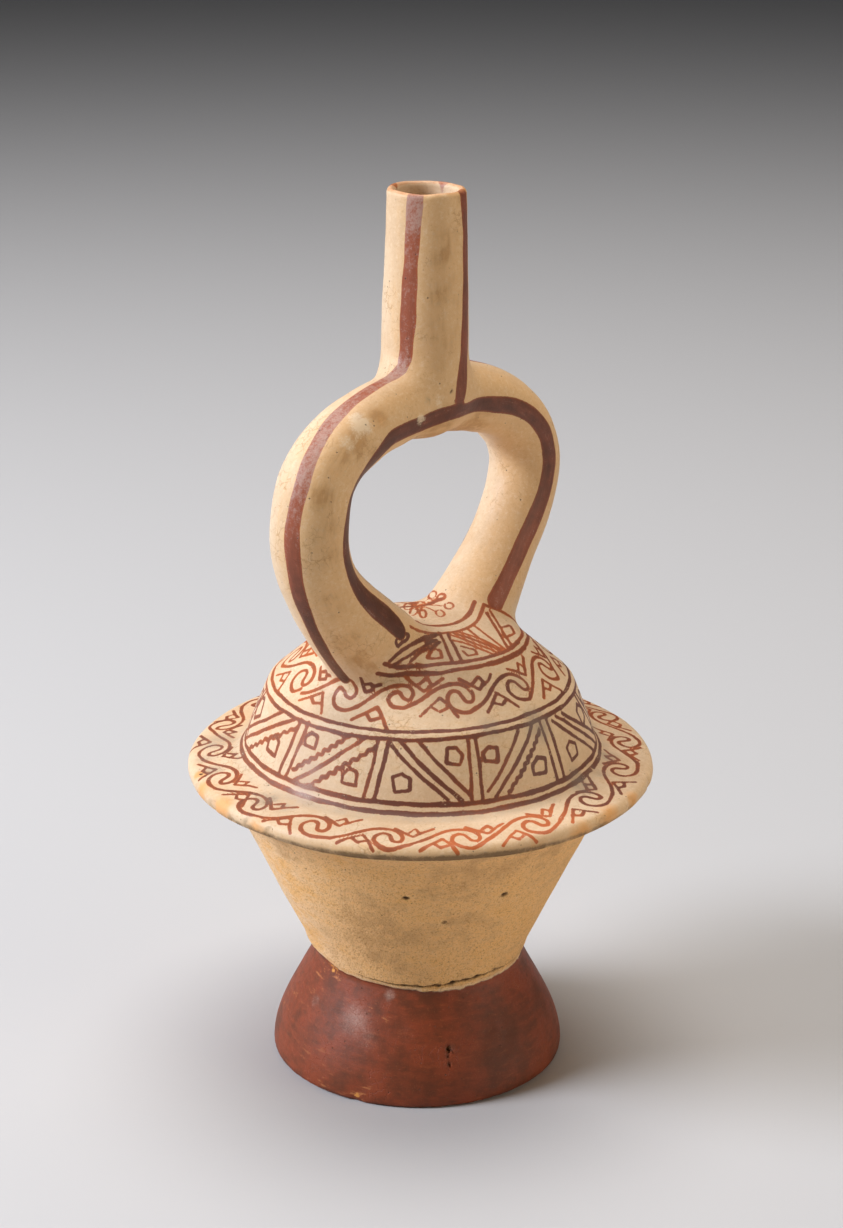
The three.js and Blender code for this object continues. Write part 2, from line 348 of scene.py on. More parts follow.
def spline(knots, steps):
    """A smooth curve through knots, with centripetal spacing, as evenly spaced places."""
    first = 2 * knots[0] - knots[1]
    last = 2 * knots[-1] - knots[-2]
    p = np.vstack([first, knots, last])
    rows = []
    for a, b, c, d in zip(p, p[1:], p[2:], p[3:]):
        t = np.cumsum([0.0, *(np.linalg.norm(v) ** 0.5 for v in (b - a, c - b, d - c))])
        u = np.linspace(t[1], t[2], 24, endpoint=False)[:, None]
        ab = ((t[1] - u) * a + (u - t[0]) * b) / (t[1] - t[0])
        bc = ((t[2] - u) * b + (u - t[1]) * c) / (t[2] - t[1])
        cd = ((t[3] - u) * c + (u - t[2]) * d) / (t[3] - t[2])
        abc = ((t[2] - u) * ab + (u - t[0]) * bc) / (t[2] - t[0])
        bcd = ((t[3] - u) * bc + (u - t[1]) * cd) / (t[3] - t[1])
        rows.append(((t[2] - u) * abc + (u - t[1]) * bcd) / (t[2] - t[1]))
    dense = np.vstack([*rows, knots[-1:]])
    run = np.r_[0, np.cumsum(np.linalg.norm(np.diff(dense, axis=0), axis=1))]
    even = np.linspace(0, run[-1], steps + 1)
    return np.stack([np.interp(even, run, dense[:, k]) for k in range(3)], 1)


def smooth(value, low, high):
    t = np.clip((value - low) / (high - low), 0, 1)
    return t * t * (3 - 2 * t)


# Distances to the exact form, each with the direction that leads straight away from it
def nearest_on_line(points, line):
    """For each point the nearest place on a chain of points, and how far along the chain it lies."""
    step = np.diff(line, axis=0)
    length2 = (step**2).sum(1)
    best = np.full(len(points), np.inf)
    place = np.zeros_like(points)
    along = np.zeros(len(points))
    corner = np.empty(len(points), int)
    for rows in np.array_split(np.arange(len(points)), len(points) // 8000 + 1):
        corner[rows] = ((points[rows][:, None] - line[None]) ** 2).sum(2).argmin(1)
    for side in (-1, 0):
        k = np.clip(corner + side, 0, len(step) - 1)
        t = np.clip(((points - line[k]) * step[k]).sum(1) / length2[k], 0, 1)
        spot = line[k] + t[:, None] * step[k]
        gap = ((points - spot) ** 2).sum(1)
        closer = gap < best
        best[closer] = gap[closer]
        place[closer] = spot[closer]
        along[closer] = (k + t)[closer]
    return np.sqrt(best), place, along


def inside_outline(points, line):
    """Which points (radius, height) a closed outline holds, by counting how often a ray crosses it."""
    inside = np.zeros(len(points), bool)
    for (r0, z0), (r1, z1) in zip(line, np.roll(line, -1, axis=0)):
        if z0 == z1:
            continue
        crosses = (z0 > points[:, 1]) != (z1 > points[:, 1])
        inside ^= crosses & (points[:, 0] < r0 + (points[:, 1] - z0) * (r1 - r0) / (z1 - z0))
    return inside


def turned_distance(points, line, shift):
    """Distance to a turned form, the direction away from it, and the place along its outline."""
    flat = points[:, :2] - np.array(shift[:2])
    radius = np.maximum(np.hypot(flat[:, 0], flat[:, 1]), 1e-9)
    here = np.stack([radius, points[:, 2]], 1)
    gap, place, along = nearest_on_line(here, line)
    sign = np.where(inside_outline(here, line), -1.0, 1.0)
    step = np.diff(line, axis=0)[np.minimum(along.astype(int), len(line) - 2)]
    outward = np.stack([-step[:, 1], step[:, 0]], 1) / np.linalg.norm(step, axis=1)[:, None]
    away = (here - place) * sign[:, None]
    close = gap < 2e-5
    away[close] = outward[close]
    away /= np.maximum(np.linalg.norm(away, axis=1), 1e-12)[:, None]
    spread = np.stack([flat[:, 0] / radius * away[:, 0], flat[:, 1] / radius * away[:, 0], away[:, 1]], 1)
    return gap * sign, spread, along


def tube_distance(points, line, radii):
    gap, place, along = nearest_on_line(points, line)
    k = np.minimum(along.astype(int), len(radii) - 2)
    radius = radii[k] + (radii[k + 1] - radii[k]) * (along - k)
    away = (points - place) / np.maximum(gap, 1e-9)[:, None]
    return gap - radius, away


def merge(first, second, reach):
    """Two forms run together with a fillet of the given reach, as wet clay is smoothed."""
    (d0, a0), (d1, a1) = first, second
    mix = np.clip(0.5 + 0.5 * (d1 - d0) / reach, 0, 1)
    distance = d1 + (d0 - d1) * mix - reach * mix * (1 - mix)
    away = a1 + (a0 - a1) * mix[:, None]
    return distance, away / np.maximum(np.linalg.norm(away, axis=1), 1e-9)[:, None]


class Skin:
    """The vessel's outer skin as one exact form: body, stirrup and spout, run together where they meet."""

    def __init__(self, form):
        self.body_line = form.skin_outline()
        self.spout_line = form.spout_outline()
        self.stirrup_line = form.stirrup_line()
        self.stirrup_radii = form.stirrup_radius(self.stirrup_line)
        tangent = np.gradient(self.stirrup_line, axis=0)
        tangent /= np.linalg.norm(tangent, axis=1)[:, None]
        self.stirrup_outward = np.stack([-tangent[:, 2], np.zeros(len(tangent)), tangent[:, 0]], 1)

    def distance(self, points):
        body = turned_distance(points, self.body_line, (0.0, 0.0))[:2]
        stirrup = tube_distance(points, self.stirrup_line, self.stirrup_radii)
        spout = turned_distance(points, self.spout_line, SPOUT_SHIFT)[:2]
        return merge(merge(body, stirrup, LEG_FILLET), spout, SPOUT_FILLET)

    def settle(self, points):
        """The points moved straight onto the skin."""
        for _ in range(3):
            gap, away = self.distance(points)
            points = points - away * gap[:, None]
        return points


class Hollow:
    """The space inside the clay: the chamber, the stirrup's bore and the spout's bore."""

    def __init__(self, form):
        s = form.s
        self.body_line = form.chamber_outline()
        self.stirrup_line = form.stirrup_line(14 * MM, 70)
        self.stirrup_radii = np.minimum(form.stirrup_radius(self.stirrup_line), 15 * MM) - s.stirrup_wall
        bore = s.spout_mouth_radius - s.mouth_wall
        past = form.spout_top + 6 * MM
        self.spout_line = outline(
            straight(2, (0.0, past), (bore, past)),
            straight(12, (bore, past), (bore - 1.2 * MM, form.crown)),
            straight(2, (bore - 1.2 * MM, form.crown), (0.0, form.crown)),
        )

    def distance(self, points):
        body = turned_distance(points, self.body_line, (0.0, 0.0))[:2]
        stirrup = tube_distance(points, self.stirrup_line, self.stirrup_radii)
        spout = turned_distance(points, self.spout_line, SPOUT_SHIFT)[:2]
        return merge(merge(body, stirrup, INNER_FILLET), spout, INNER_FILLET)


# Modelling steps that several pieces share
def begin():
    """Leaves edit mode with nothing selected."""
    if bpy.context.object and bpy.context.object.mode != "OBJECT":
        bpy.ops.object.mode_set(mode="OBJECT")
    bpy.ops.object.select_all(action="DESELECT")


def pick(*pieces):
    begin()
    for piece in pieces:
        piece.select_set(True)
    bpy.context.view_layer.objects.active = pieces[0]


def places(piece):
    found = np.empty(len(piece.data.vertices) * 3)
    piece.data.vertices.foreach_get("co", found)
    return found.reshape(-1, 3)


def put_places(piece, points):
    piece.data.vertices.foreach_set("co", points.ravel())
    piece.data.update()


def thin(line, gap):
    """A chain's points at about the given gap, ends kept, for a blank that is trued up later."""
    run = np.r_[0, np.cumsum(np.hypot(*np.diff(line, axis=0).T))]
    kept = np.linspace(0, run[-1], max(2, int(run[-1] / gap)) + 1)
    return np.stack([np.interp(kept, run, line[:, 0]), np.interp(kept, run, line[:, 1])], 1)


def turn_blank(name, line, shift, steps):
    """Draws half of an outline point by point and spins it round the upright axis."""
    begin()
    bpy.ops.mesh.primitive_plane_add(size=MM, location=(line[0][0] + shift[0], shift[1], line[0][1]))
    blank = bpy.context.object
    blank.name = name
    bpy.ops.object.mode_set(mode="EDIT")
    bpy.ops.mesh.select_all(action="SELECT")
    bpy.ops.mesh.merge(type="CENTER")
    for out, up in np.diff(line, axis=0):
        bpy.ops.mesh.extrude_region_move(TRANSFORM_OT_translate={"value": (out, 0.0, up)})
    bpy.ops.mesh.select_all(action="SELECT")
    bpy.ops.mesh.spin(steps=steps, angle=math.tau, center=(shift[0], shift[1], 0.0), axis=(0.0, 0.0, 1.0))
    bpy.ops.mesh.select_all(action="SELECT")
    bpy.ops.mesh.remove_doubles(threshold=0.02 * MM)
    bpy.ops.mesh.normals_make_consistent(inside=False)
    bpy.ops.object.mode_set(mode="OBJECT")
    bpy.ops.object.transform_apply(location=True, rotation=True, scale=True)
    return blank


def tube_blank(name, line, radii):
    """A round bar along a line, as a curve with its own radius at each point, closed at both ends."""
    begin()
    bpy.ops.curve.primitive_nurbs_path_add(location=(0.0, 0.0, 0.0))
    bar = bpy.context.object
    bar.name = name
    curve = bar.data
    curve.splines.clear()
    path = curve.splines.new("POLY")
    path.points.add(len(line) - 1)
    for point, place, radius in zip(path.points, line, radii):
        point.co = (*place, 1.0)
        point.radius = radius / MM
    curve.bevel_depth = MM
    curve.bevel_resolution = 6
    curve.use_fill_caps = True
    bpy.ops.object.convert(target="MESH")
    bpy.ops.object.mode_set(mode="EDIT")
    bpy.ops.mesh.select_all(action="SELECT")
    bpy.ops.mesh.remove_doubles(threshold=0.02 * MM)
    bpy.ops.mesh.normals_make_consistent(inside=False)
    bpy.ops.object.mode_set(mode="OBJECT")
    return bar


def weld(pieces, grain):
    """Joins closed blanks into one skin of even faces."""
    pick(*pieces)
    bpy.ops.object.join()
    body = bpy.context.object
    body.data.remesh_voxel_size = grain
    body.data.remesh_voxel_adaptivity = 0.0
    body.data.use_remesh_fix_poles = False
    bpy.ops.object.voxel_remesh()
    return body


def true_up(piece, form, steps=4, relax=0):
    """Moves every point of a blank onto the exact form, after easing its faces to even sizes."""
    if relax:
        pick(piece)
        bpy.ops.object.mode_set(mode="EDIT")
        bpy.ops.mesh.select_all(action="SELECT")
        bpy.ops.mesh.vertices_smooth(factor=0.5, repeat=relax)
        bpy.ops.object.mode_set(mode="OBJECT")
    points = places(piece)
    for _ in range(steps):
        gap, away = form.distance(points)
        points -= away * np.clip(gap, -1.5 * MM, 1.5 * MM)[:, None]
    put_places(piece, points)


def refine(piece, wanted):
    """Divides the faces whose middles are wanted."""
    pick(piece)
    middles = np.empty(len(piece.data.polygons) * 3)
    piece.data.polygons.foreach_get("center", middles)
    chosen = wanted(middles.reshape(-1, 3))
    bpy.ops.object.mode_set(mode="EDIT")
    bpy.ops.mesh.select_mode(type="FACE")
    bpy.ops.mesh.select_all(action="DESELECT")
    bpy.ops.object.mode_set(mode="OBJECT")
    piece.data.polygons.foreach_set("select", chosen)
    bpy.ops.object.mode_set(mode="EDIT")
    bpy.ops.mesh.subdivide(number_cuts=1)
    bpy.ops.object.mode_set(mode="OBJECT")


def cut_over(height):
    """Cuts off what is selected over a level and leaves the cut open."""
    bpy.ops.mesh.bisect(
        plane_co=(0.0, 0.0, height), plane_no=(0.0, 0.0, 1.0), clear_outer=True, use_fill=False
    )


def round_mouth(skin, form):
    """Cuts the spout's blank end off and raises a rounded lip, whose inner edge is left open."""
    s = form.s
    centre = Vector((SPOUT_SHIFT.x, SPOUT_SHIFT.y, 0.0))
    cut = form.spout_top - 2.4 * MM
    pick(skin)
    bpy.ops.object.mode_set(mode="EDIT")
    bpy.ops.mesh.select_mode(type="VERT")
    bpy.ops.mesh.select_all(action="SELECT")
    cut_over(cut)
    # Outer radius under the lip, then the lip's section as shares of its wall: in from outside, and drop
    lip = (
        (0.0, 1.3), (0.1, 0.55), (0.28, 0.12), (0.5, 0.0), (0.72, 0.16), (0.92, 0.7), (1.0, 1.6),
        (1.06, 5.0),
    )
    radius = s.spout_mouth_radius
    height = cut
    for inward, drop in lip:
        wanted = s.spout_mouth_radius - inward * s.mouth_wall
        raised = form.spout_top - drop * MM
        bpy.ops.mesh.extrude_region_move(TRANSFORM_OT_translate={"value": (0.0, 0.0, raised - height)})
        bpy.ops.transform.resize(
            value=(wanted / radius, wanted / radius, 1.0), center_override=(centre.x, centre.y, raised)
        )
        radius, height = wanted, raised
    bpy.ops.object.mode_set(mode="OBJECT")


def hollow_out(skin, form):
    """Adds the inner wall of chamber, legs and spout, and joins it to the lip."""
    hollow = Hollow(form)
    core = weld(
        [
            turn_blank("chamber_blank", thin(hollow.body_line, 5 * MM), (0.0, 0.0), 48),
            tube_blank("stirrup_bore_blank", hollow.stirrup_line, hollow.stirrup_radii),
            turn_blank("spout_bore_blank", hollow.spout_line, SPOUT_SHIFT, 24),
        ],
        INNER_GRAIN,
    )
    true_up(core, hollow, steps=3, relax=2)
    pick(core)
    bpy.ops.object.mode_set(mode="EDIT")
    bpy.ops.mesh.select_all(action="SELECT")
    bpy.ops.mesh.flip_normals()
    cut_over(form.spout_top - 11 * MM)
    bpy.ops.object.mode_set(mode="OBJECT")
    note(core, "inner", np.ones(len(core.data.vertices)))
    pick(skin, core)
    bpy.ops.object.join()
    bpy.ops.object.mode_set(mode="EDIT")
    bpy.ops.mesh.select_mode(type="EDGE")
    bpy.ops.mesh.select_all(action="DESELECT")
    bpy.ops.mesh.select_non_manifold(
        extend=False, use_wire=False, use_boundary=True, use_multi_face=False, use_non_contiguous=False,
        use_verts=False,
    )
    bpy.ops.mesh.bridge_edge_loops()
    bpy.ops.object.mode_set(mode="OBJECT")


# Directions as the photograph shows the vessel: angle 0 is towards the viewer, and angles grow to the right
VIEW_TURN = math.radians(-144)
LOOK_TURN = math.radians(-54)
# The photograph's camera: tilt and roll, then its distance from the axis and its height, lens and film in mm
LOOK_TILT = math.radians(19.27)
LOOK_ROLL = math.radians(0.387)
LOOK_AWAY, LOOK_HEIGHT = 800.3, 437.3
LOOK_LENS, SENSOR = 74.86, 36.0
PICTURE = (843, 1228)


def around(angle, radius):
    """Part-frame x and y of a place at the photograph's angle in degrees."""
    turn = np.radians(angle) + VIEW_TURN
    return np.cos(turn) * radius, np.sin(turn) * radius


def cloud(points, size, seed=0.0):
    """Soft noise from -1 to 1 at each place, with swells of about the given size."""
    shift = Vector((seed * 3.7, seed * -5.3, seed * 7.9))
    return np.array([noise.noise(Vector(place) / size + shift) for place in points])


def angle_of(points):
    """A place's angle about the axis as the photograph shows it, from -180 to 180 degrees."""
    turned = np.degrees(np.arctan2(points[:, 1], points[:, 0]) - VIEW_TURN)
    return (turned + 180) % 360 - 180


# Where the cone's clay laps over the foot: (angle, height of its lower edge) and (angle, height of the crack)
LAP_EDGE = (
    (-180, 38), (-100, 40.5), (-70, 41.5), (-58, 41.3), (-44, 38.8), (-22, 38.0), (5, 36.5), (21, 36.1),
    (34, 36.5), (48, 36.6), (70, 36.4), (110, 37.4), (180, 38),
)
CRACK = (
    (-180, 41), (-60, 43), (-44, 41.5), (-22, 40.0), (-10, 38.9), (5, 38.6), (25, 39.7), (40, 40.0),
    (60, 39.4), (180, 41),
)
# Holes: place, then half height, half width and depth, all in millimetres
HOLES = (
    ((-29.3, -33.8, 19.0), 1.25, 0.85, 2.4), ((-30.2, -34.2, 16.6), 1.1, 0.32, 1.0),
    ((-30.9, -35.2, 14.6), 1.3, 0.42, 1.6), ((13.7, -36.5, 30.0), 0.6, 0.6, 1.0),
    ((-47.7, -29.2, 80.3), 0.7, 1.1, 0.7), ((-21.7, -50.0, 77.4), 0.9, 1.2, 0.8),
    ((-35.3, -35.9, 68.5), 0.7, 0.8, 0.6), ((-4.9, -14.6, 236.9), 0.4, 0.45, 0.4),
    ((-60.0, 46.0, 108.3), 0.9, 0.6, 0.5), ((-52.0, -38.0, 104.5), 0.7, 1.0, 0.4),
    ((24.0, 46.0, 70.0), 1.0, 0.8, 0.7), ((40.0, 14.0, 24.0), 0.8, 0.7, 0.8),
)
# Shallow flakes off the foot's edge and the flange's rim: place, reach and depth in millimetres
FLAKES = (
    ((-49.6, -10.4, 2.6), 3.0, 0.5), ((-48.6, -12.6, 6.0), 1.8, 0.35), ((-78.0, 2.0, 105.5), 2.2, 0.5),
    ((-77.3, 11.0, 106.0), 2.6, 0.6), ((-75.5, 20.0, 104.5), 1.8, 0.5), ((-72.0, 31.0, 105.0), 2.8, 0.5),
    ((-65.5, 43.0, 106.0), 2.2, 0.45), ((-30.0, -72.5, 104.0), 2.0, 0.4), ((-8.0, -78.2, 105.0), 2.4, 0.5),
    ((10.0, -78.0, 106.0), 2.4, 0.5), ((28.0, -73.5, 105.0), 3.0, 0.5), ((78.0, 8.0, 105.0), 2.6, 0.5),
    ((40.0, 67.5, 105.0), 2.8, 0.5), ((48.0, 16.0, 1.5), 3.0, 0.5), ((-2.0, 50.0, 1.5), 2.4, 0.4),
)
# Broad hollows pressed in by the potter's hand: place, reach and depth in millimetres
DENTS = (
    ((-27.0, -3.0, 215.0), 12.0, 1.5), ((-14.0, -3.0, 218.0), 14.0, 2.0), ((2.0, -3.0, 217.5), 12.0, 1.7),
    ((34.0, 2.0, 212.0), 10.0, 1.2),
)


def over_angle(table, points):
    return np.interp(angle_of(points), *np.array(table, float).T) * MM


def lap_edge(points):
    """Height of the ragged lower edge of the lap over the foot."""
    level = points * np.array([1.0, 1.0, 0.15])
    return (
        over_angle(LAP_EDGE, points)
        + (cloud(level, 4 * MM, 1) * 0.5 + cloud(level, 1.4 * MM, 2) * 0.3) * MM
    )


def crack_line(points):
    level = points * np.array([1.0, 1.0, 0.15])
    return over_angle(CRACK, points) + (cloud(level, 5 * MM, 3) * 0.4 + cloud(level, 1.2 * MM, 4) * 0.15) * MM


def crack_width(points):
    """Half width of the open crack, widest in front on the right."""
    angle = angle_of(points)
    share = np.interp(
        angle, (-40, -14, -6, 10, 24, 36, 52, 64), (0.0, 0.15, 0.42, 0.42, 0.65, 0.45, 0.25, 0.0)
    )
    return share * (1 + 0.9 * cloud(points, 2.2 * MM, 5)) * MM


def handwork(skin, form, exact):
    """Marks of the hand and of time on the outer skin."""
    points = places(skin)
    s = form.s
    _, away = exact.distance(points)
    radius = np.hypot(points[:, 0], points[:, 1])
    height = points[:, 2]
    # Soft swings of the wall, none at the edge that the vessel stands on
    swing = cloud(points, 30 * MM, 6) * 0.75 + cloud(points, 9 * MM, 7) * 0.22
    swing *= (
        s.hand_swing * smooth(height, 0.3 * MM, 5 * MM)
        * (1 - 0.5 * smooth(height, form.spout_top - 6 * MM, form.spout_top))
    )
    lift = swing
    # The lap of clay over the foot and the crack above it
    near_waist = abs(height - s.foot_height) < 8 * MM
    near_waist &= radius > s.waist_radius - 4.5 * MM
    band = points[near_waist]
    lower, upper = lap_edge(band), crack_line(band)
    lap = (
        smooth(band[:, 2], lower - 0.25 * MM, lower + 0.25 * MM)
        * (1 - smooth(band[:, 2], upper, upper + 5 * MM))
    )
    gap = abs(band[:, 2] - upper) / np.maximum(crack_width(band), 0.02 * MM)
    lift[near_waist] += (
        lap * 0.65 * MM - np.clip(1.3 - gap, 0, 1) * 1.5 * MM * (crack_width(band) > 0.05 * MM)
    )
    # Flange a little wavy, cone and foot a little off the axis
    outer = smooth(radius, s.body_radius, form.flange_radius) * (height > form.shoulder)
    wave = cloud(points * np.array([1.0, 1.0, 0.0]), 42 * MM, 8) * 0.45 * MM
    points += away * lift[:, None]
    points[:, 2] += outer * wave
    drift = np.interp(height / MM, (0, 37, 60, 88, 100), (-0.5, -0.5, -0.9, -0.9, 0.0)) * MM
    points[:, :2] += drift[:, None] * np.array([math.cos(LOOK_TURN), math.sin(LOOK_TURN)])
    for centre, tall, wide, depth in HOLES:
        centre = np.array(centre) * MM
        off = points - centre
        level = np.hypot(off[:, 0], off[:, 1]) / (wide * MM)
        share = np.clip(1 - (level**2 + (off[:, 2] / (tall * MM)) ** 2), 0, 1)
        points -= away * (share**0.5 * depth * MM)[:, None]
    for centre, reach, depth in FLAKES:
        gap = np.linalg.norm(points - np.array(centre) * MM, axis=1) / (reach * MM)
        gap += cloud(points, 1.6 * MM, 9) * 0.3
        share = 1 - smooth(gap, 0.8, 1.0)
        points -= away * (share * depth * MM)[:, None]
    for centre, reach, depth in DENTS:
        gap = np.linalg.norm(points - np.array(centre) * MM, axis=1) / (reach * MM)
        points -= away * ((1 - smooth(gap, 0.15, 1.0)) * depth * MM)[:, None]
    # Lip worn uneven, lower towards the viewer
    near_lip = smooth(height, form.spout_top - 9 * MM, form.spout_top - 1 * MM)
    tilt = cloud(points * np.array([1.0, 1.0, 0.0]), 7 * MM, 10) * 0.35 - 0.42
    tilt += 0.3 * np.cos(np.radians(angle_of(points - np.array([*SPOUT_SHIFT[:2], 0])) - 200)) - 0.3
    points[:, 2] += near_lip * tilt * MM
    points = np.clip(points, np.array(CAD_LOW), np.array(CAD_HIGH))
    put_places(skin, points)


def model_vessel(shape, lines, stripes):
    form = Form(shape)
    exact = Skin(form)
    skin = weld(
        [
            turn_blank("body_blank", thin(exact.body_line, 2.5 * MM), (0.0, 0.0), 120),
            tube_blank("stirrup_blank", exact.stirrup_line, exact.stirrup_radii),
            turn_blank("spout_blank", thin(exact.spout_line, 3 * MM), SPOUT_SHIFT, 48),
        ],
        shape.grain,
    )
    skin.name = "vessel_skin"
    skin.data.name = "vessel_skin"
    true_up(skin, exact, steps=3, relax=2)

    def zones(middles, margin):
        radius = np.hypot(middles[:, 0], middles[:, 1])
        height = middles[:, 2]
        rim = (radius > form.flange_radius - 2.6 * MM) & (height > form.shoulder)
        waist = (
            (abs(height - shape.foot_height - 1.6 * MM) < 2.4 * MM + margin)
            & (radius > shape.waist_radius - 3 * MM)
        )
        edge = (height < 2.5 * MM) & (radius > shape.foot_radius - 2.5 * MM)
        lip = height > form.spout_top - 4 * MM - margin
        return radius, rim, waist, edge, lip

    def wants_first(middles):
        radius, rim, waist, edge, lip = zones(middles, 2 * MM)
        height = middles[:, 2]
        painted = (height > form.flange_under + 4 * MM) & (height < form.dome_top + 6 * MM)
        high = height > form.dome_top - 16 * MM
        striped = np.zeros(len(middles), bool)
        striped[high] = abs(stripes.measure(middles[high], near=1)[0]) < 2.2 * MM
        return painted | rim | waist | edge | lip | striped

    def wants_second(middles):
        _, rim, waist, edge, lip = zones(middles, 0.0)
        ink = lines_at(middles, form, lines, 3)[0]
        return (
            (abs(ink) < 0.72 * MM) | waist | lip
            | rim & (angle_of(middles) > -110) & (angle_of(middles) < 110)
        )

    def wants_third(middles):
        wanted = abs(middles[:, 2] - crack_line(middles)) < 0.8 * MM
        wanted &= (
            (crack_width(middles) > 0)
            & (np.hypot(middles[:, 0], middles[:, 1]) > shape.waist_radius - 3 * MM)
        )
        for centre, tall, wide, _ in HOLES:
            wanted |= np.linalg.norm(middles - np.array(centre) * MM, axis=1) < (max(tall, wide) + 1.2) * MM
        return wanted

    for wanted in (wants_first, wants_second, wants_third):
        refine(skin, wanted)
    refine(skin, wants_third)
    true_up(skin, exact)
    round_mouth(skin, form)
    handwork(skin, form, exact)
    hollow_out(skin, form)
    return skin


class Brush:
    """Strokes of slip laid on the vessel, kept as close-set dabs with a half width and a tone each."""

    STEP = 0.35 * MM

    def __init__(self, form, seed):
        line = form.dome_outline()
        self.line = line
        self.run = np.r_[0, np.cumsum(np.hypot(*np.diff(line, axis=0).T))]
        self.dabs, self.halves, self.tones = [], [], []
        self.tree = None
        self.random = np.random.default_rng(seed)

    def on_dome(self, angle, run):
        radius = np.interp(run, self.run, self.line[:, 0])
        x, y = around(angle, radius)
        return np.stack([x, y, np.interp(run, self.run, self.line[:, 1])], 1)

    def lay(self, places, width, tone, wobble=0.22 * MM):
        """One stroke through places in space, with a hand's small swings and a width that comes and goes."""
        run = np.r_[0, np.cumsum(np.linalg.norm(np.diff(places, axis=0), axis=1))]
        even = np.linspace(0, run[-1], max(2, int(run[-1] / self.STEP)) + 1)
        path = np.stack([np.interp(even, run, places[:, k]) for k in range(3)], 1)
        phase = self.random.uniform(0, math.tau, 6)
        swing = sum(np.sin(even / (length * MM) + phase[k]) for k, length in enumerate((1.7, 3.1, 5.3))) / 3
        across = np.cross(np.gradient(path, axis=0), path - np.array([0.0, 0.0, 0.1]))
        across /= np.maximum(np.linalg.norm(across, axis=1), 1e-9)[:, None]
        path = path + across * (swing * wobble)[:, None]
        press = sum(
            np.sin(even / (length * MM) + phase[3 + k]) for k, length in enumerate((1.2, 2.6, 6.0))
        ) / 3
        width = width * self.random.uniform(0.92, 1.08)
        self.dabs.append(path)
        self.halves.append(width / 2 * (1 + 0.17 * press))
        self.tones.append(np.full(len(path), tone + self.random.uniform(-0.06, 0.06)))

    def draw(self, knots, width=1.5 * MM, tone=0.5, curved=True):
        """A stroke on the dome or flange through (angle, run from the dome's top) knots."""
        knots = np.array(knots, float)
        if curved and len(knots) > 2:
            flat = knots * np.array([1.0, 1000.0])
            flat = spline(np.c_[flat, np.zeros(len(flat))], 12 * len(knots))
            knots = flat[:, :2] / np.array([1.0, 1000.0])
        else:
            share = np.linspace(0, len(knots) - 1, 24 * (len(knots) - 1) + 1)
            knots = np.stack([np.interp(share, np.arange(len(knots)), knots[:, k]) for k in range(2)], 1)
        self.lay(self.on_dome(knots[:, 0], knots[:, 1]), width, tone)

    def motif(self, at, knots, scale=1.0, lean=0.0, **manner):
        """A small drawn figure, given in millimetres (right, down) from a place (angle, run)."""
        angle, run = at
        radius = np.interp(run, self.run, self.line[:, 0])
        turn = math.radians(lean)
        drawn = []
        for right, down in knots:
            right += self.random.uniform(-0.25, 0.25)
            down += self.random.uniform(-0.25, 0.25)
            x = (right * math.cos(turn) - down * math.sin(turn)) * scale * MM
            y = (right * math.sin(turn) + down * math.cos(turn)) * scale * MM
            drawn.append((angle + math.degrees(x / radius), run + y))
        self.draw(drawn, **manner)

    def measure(self, points, near=5):
        """For each point how deep it lies inside a stroke, in metres, and that stroke's tone."""
        if not self.tree:
            dabs = np.vstack(self.dabs)
            self.half, self.tone = np.concatenate(self.halves), np.concatenate(self.tones)
            self.tree = kdtree.KDTree(len(dabs))
            for k, dab in enumerate(dabs):
                self.tree.insert(dab, k)
            self.tree.balance()
        ink, tone = np.full(len(points), -4 * MM), np.full(len(points), 0.5)
        for k, point in enumerate(points):
            for _, dab, gap in self.tree.find_n(point, near):
                if self.half[dab] - gap > ink[k]:
                    ink[k] = self.half[dab] - gap
                    tone[k] = self.tone[dab]
        return ink, tone


# The running scroll as one line from hollow to crest and hook, in millimetres from the middle of its hook
SCROLL = (
    (-18.5, 3.6), (-14.7, 1.2), (-10.2, -2.2), (-6.6, -4.3), (-2.9, -5.1), (0.7, -4.5), (3.1, -2.6),
    (3.9, 0.1), (2.8, 2.0), (1.0, 1.7), (0.1, -0.1), (-0.7, -1.8), (-2.6, -2.5), (-4.3, -1.4),
    (-5.1, 0.6), (-4.4, 2.9), (-2.2, 4.8), (0.7, 5.5),
)
FLAG_ABOVE = (
    ((0.7, -6.7), (3.7, -4.5), (6.9, -1.9), (9.5, -4.1), (8.1, -6.6), (5.5, -4.5)),
    ((8.8, -3.4), (11.0, -5.0), (13.9, -6.6)),
)
FLAG_BELOW = (
    ((5.9, 7.3), (9.5, 3.8), (12.3, 1.6), (14.3, 4.9), (16.4, 8.4)),
    ((9.2, 4.3), (11.4, 6.2), (14.0, 4.9)),
)
PENTAGON = ((-3.0, -0.5), (-0.8, -3.2), (2.6, -2.4), (2.9, 2.4), (-2.4, 2.6), (-3.0, -0.5))


def scroll_band(brush, centres, flags, scale, tone, by_hand=(), flags_by_hand=()):
    """Scrolls that run into each other round the whole band, with a small flag over and under each."""
    for place, ahead in zip(centres, (*centres[1:], (centres[0][0] + 360, centres[0][1]))):
        angle, run = place
        per = math.degrees(MM / np.interp(run * MM, brush.run, brush.line[:, 0]))
        knots = [(angle + x * per, (run + y * scale) * MM) for x, y in SCROLL]
        knots.append((ahead[0] + SCROLL[0][0] * per, (ahead[1] + SCROLL[0][1] * scale) * MM))
        if place not in by_hand:
            brush.draw(knots, tone=tone)
        for figure, (right, down, lean) in zip((FLAG_ABOVE, FLAG_BELOW), flags):
            lean += brush.random.uniform(-7, 7)
            if figure is FLAG_ABOVE and place in flags_by_hand:
                continue
            for stroke in figure:
                brush.motif(
                    (angle + right, (run + down) * MM), stroke, 1.0, lean,
                    width=1.3 * MM, tone=tone, curved=False,
                )
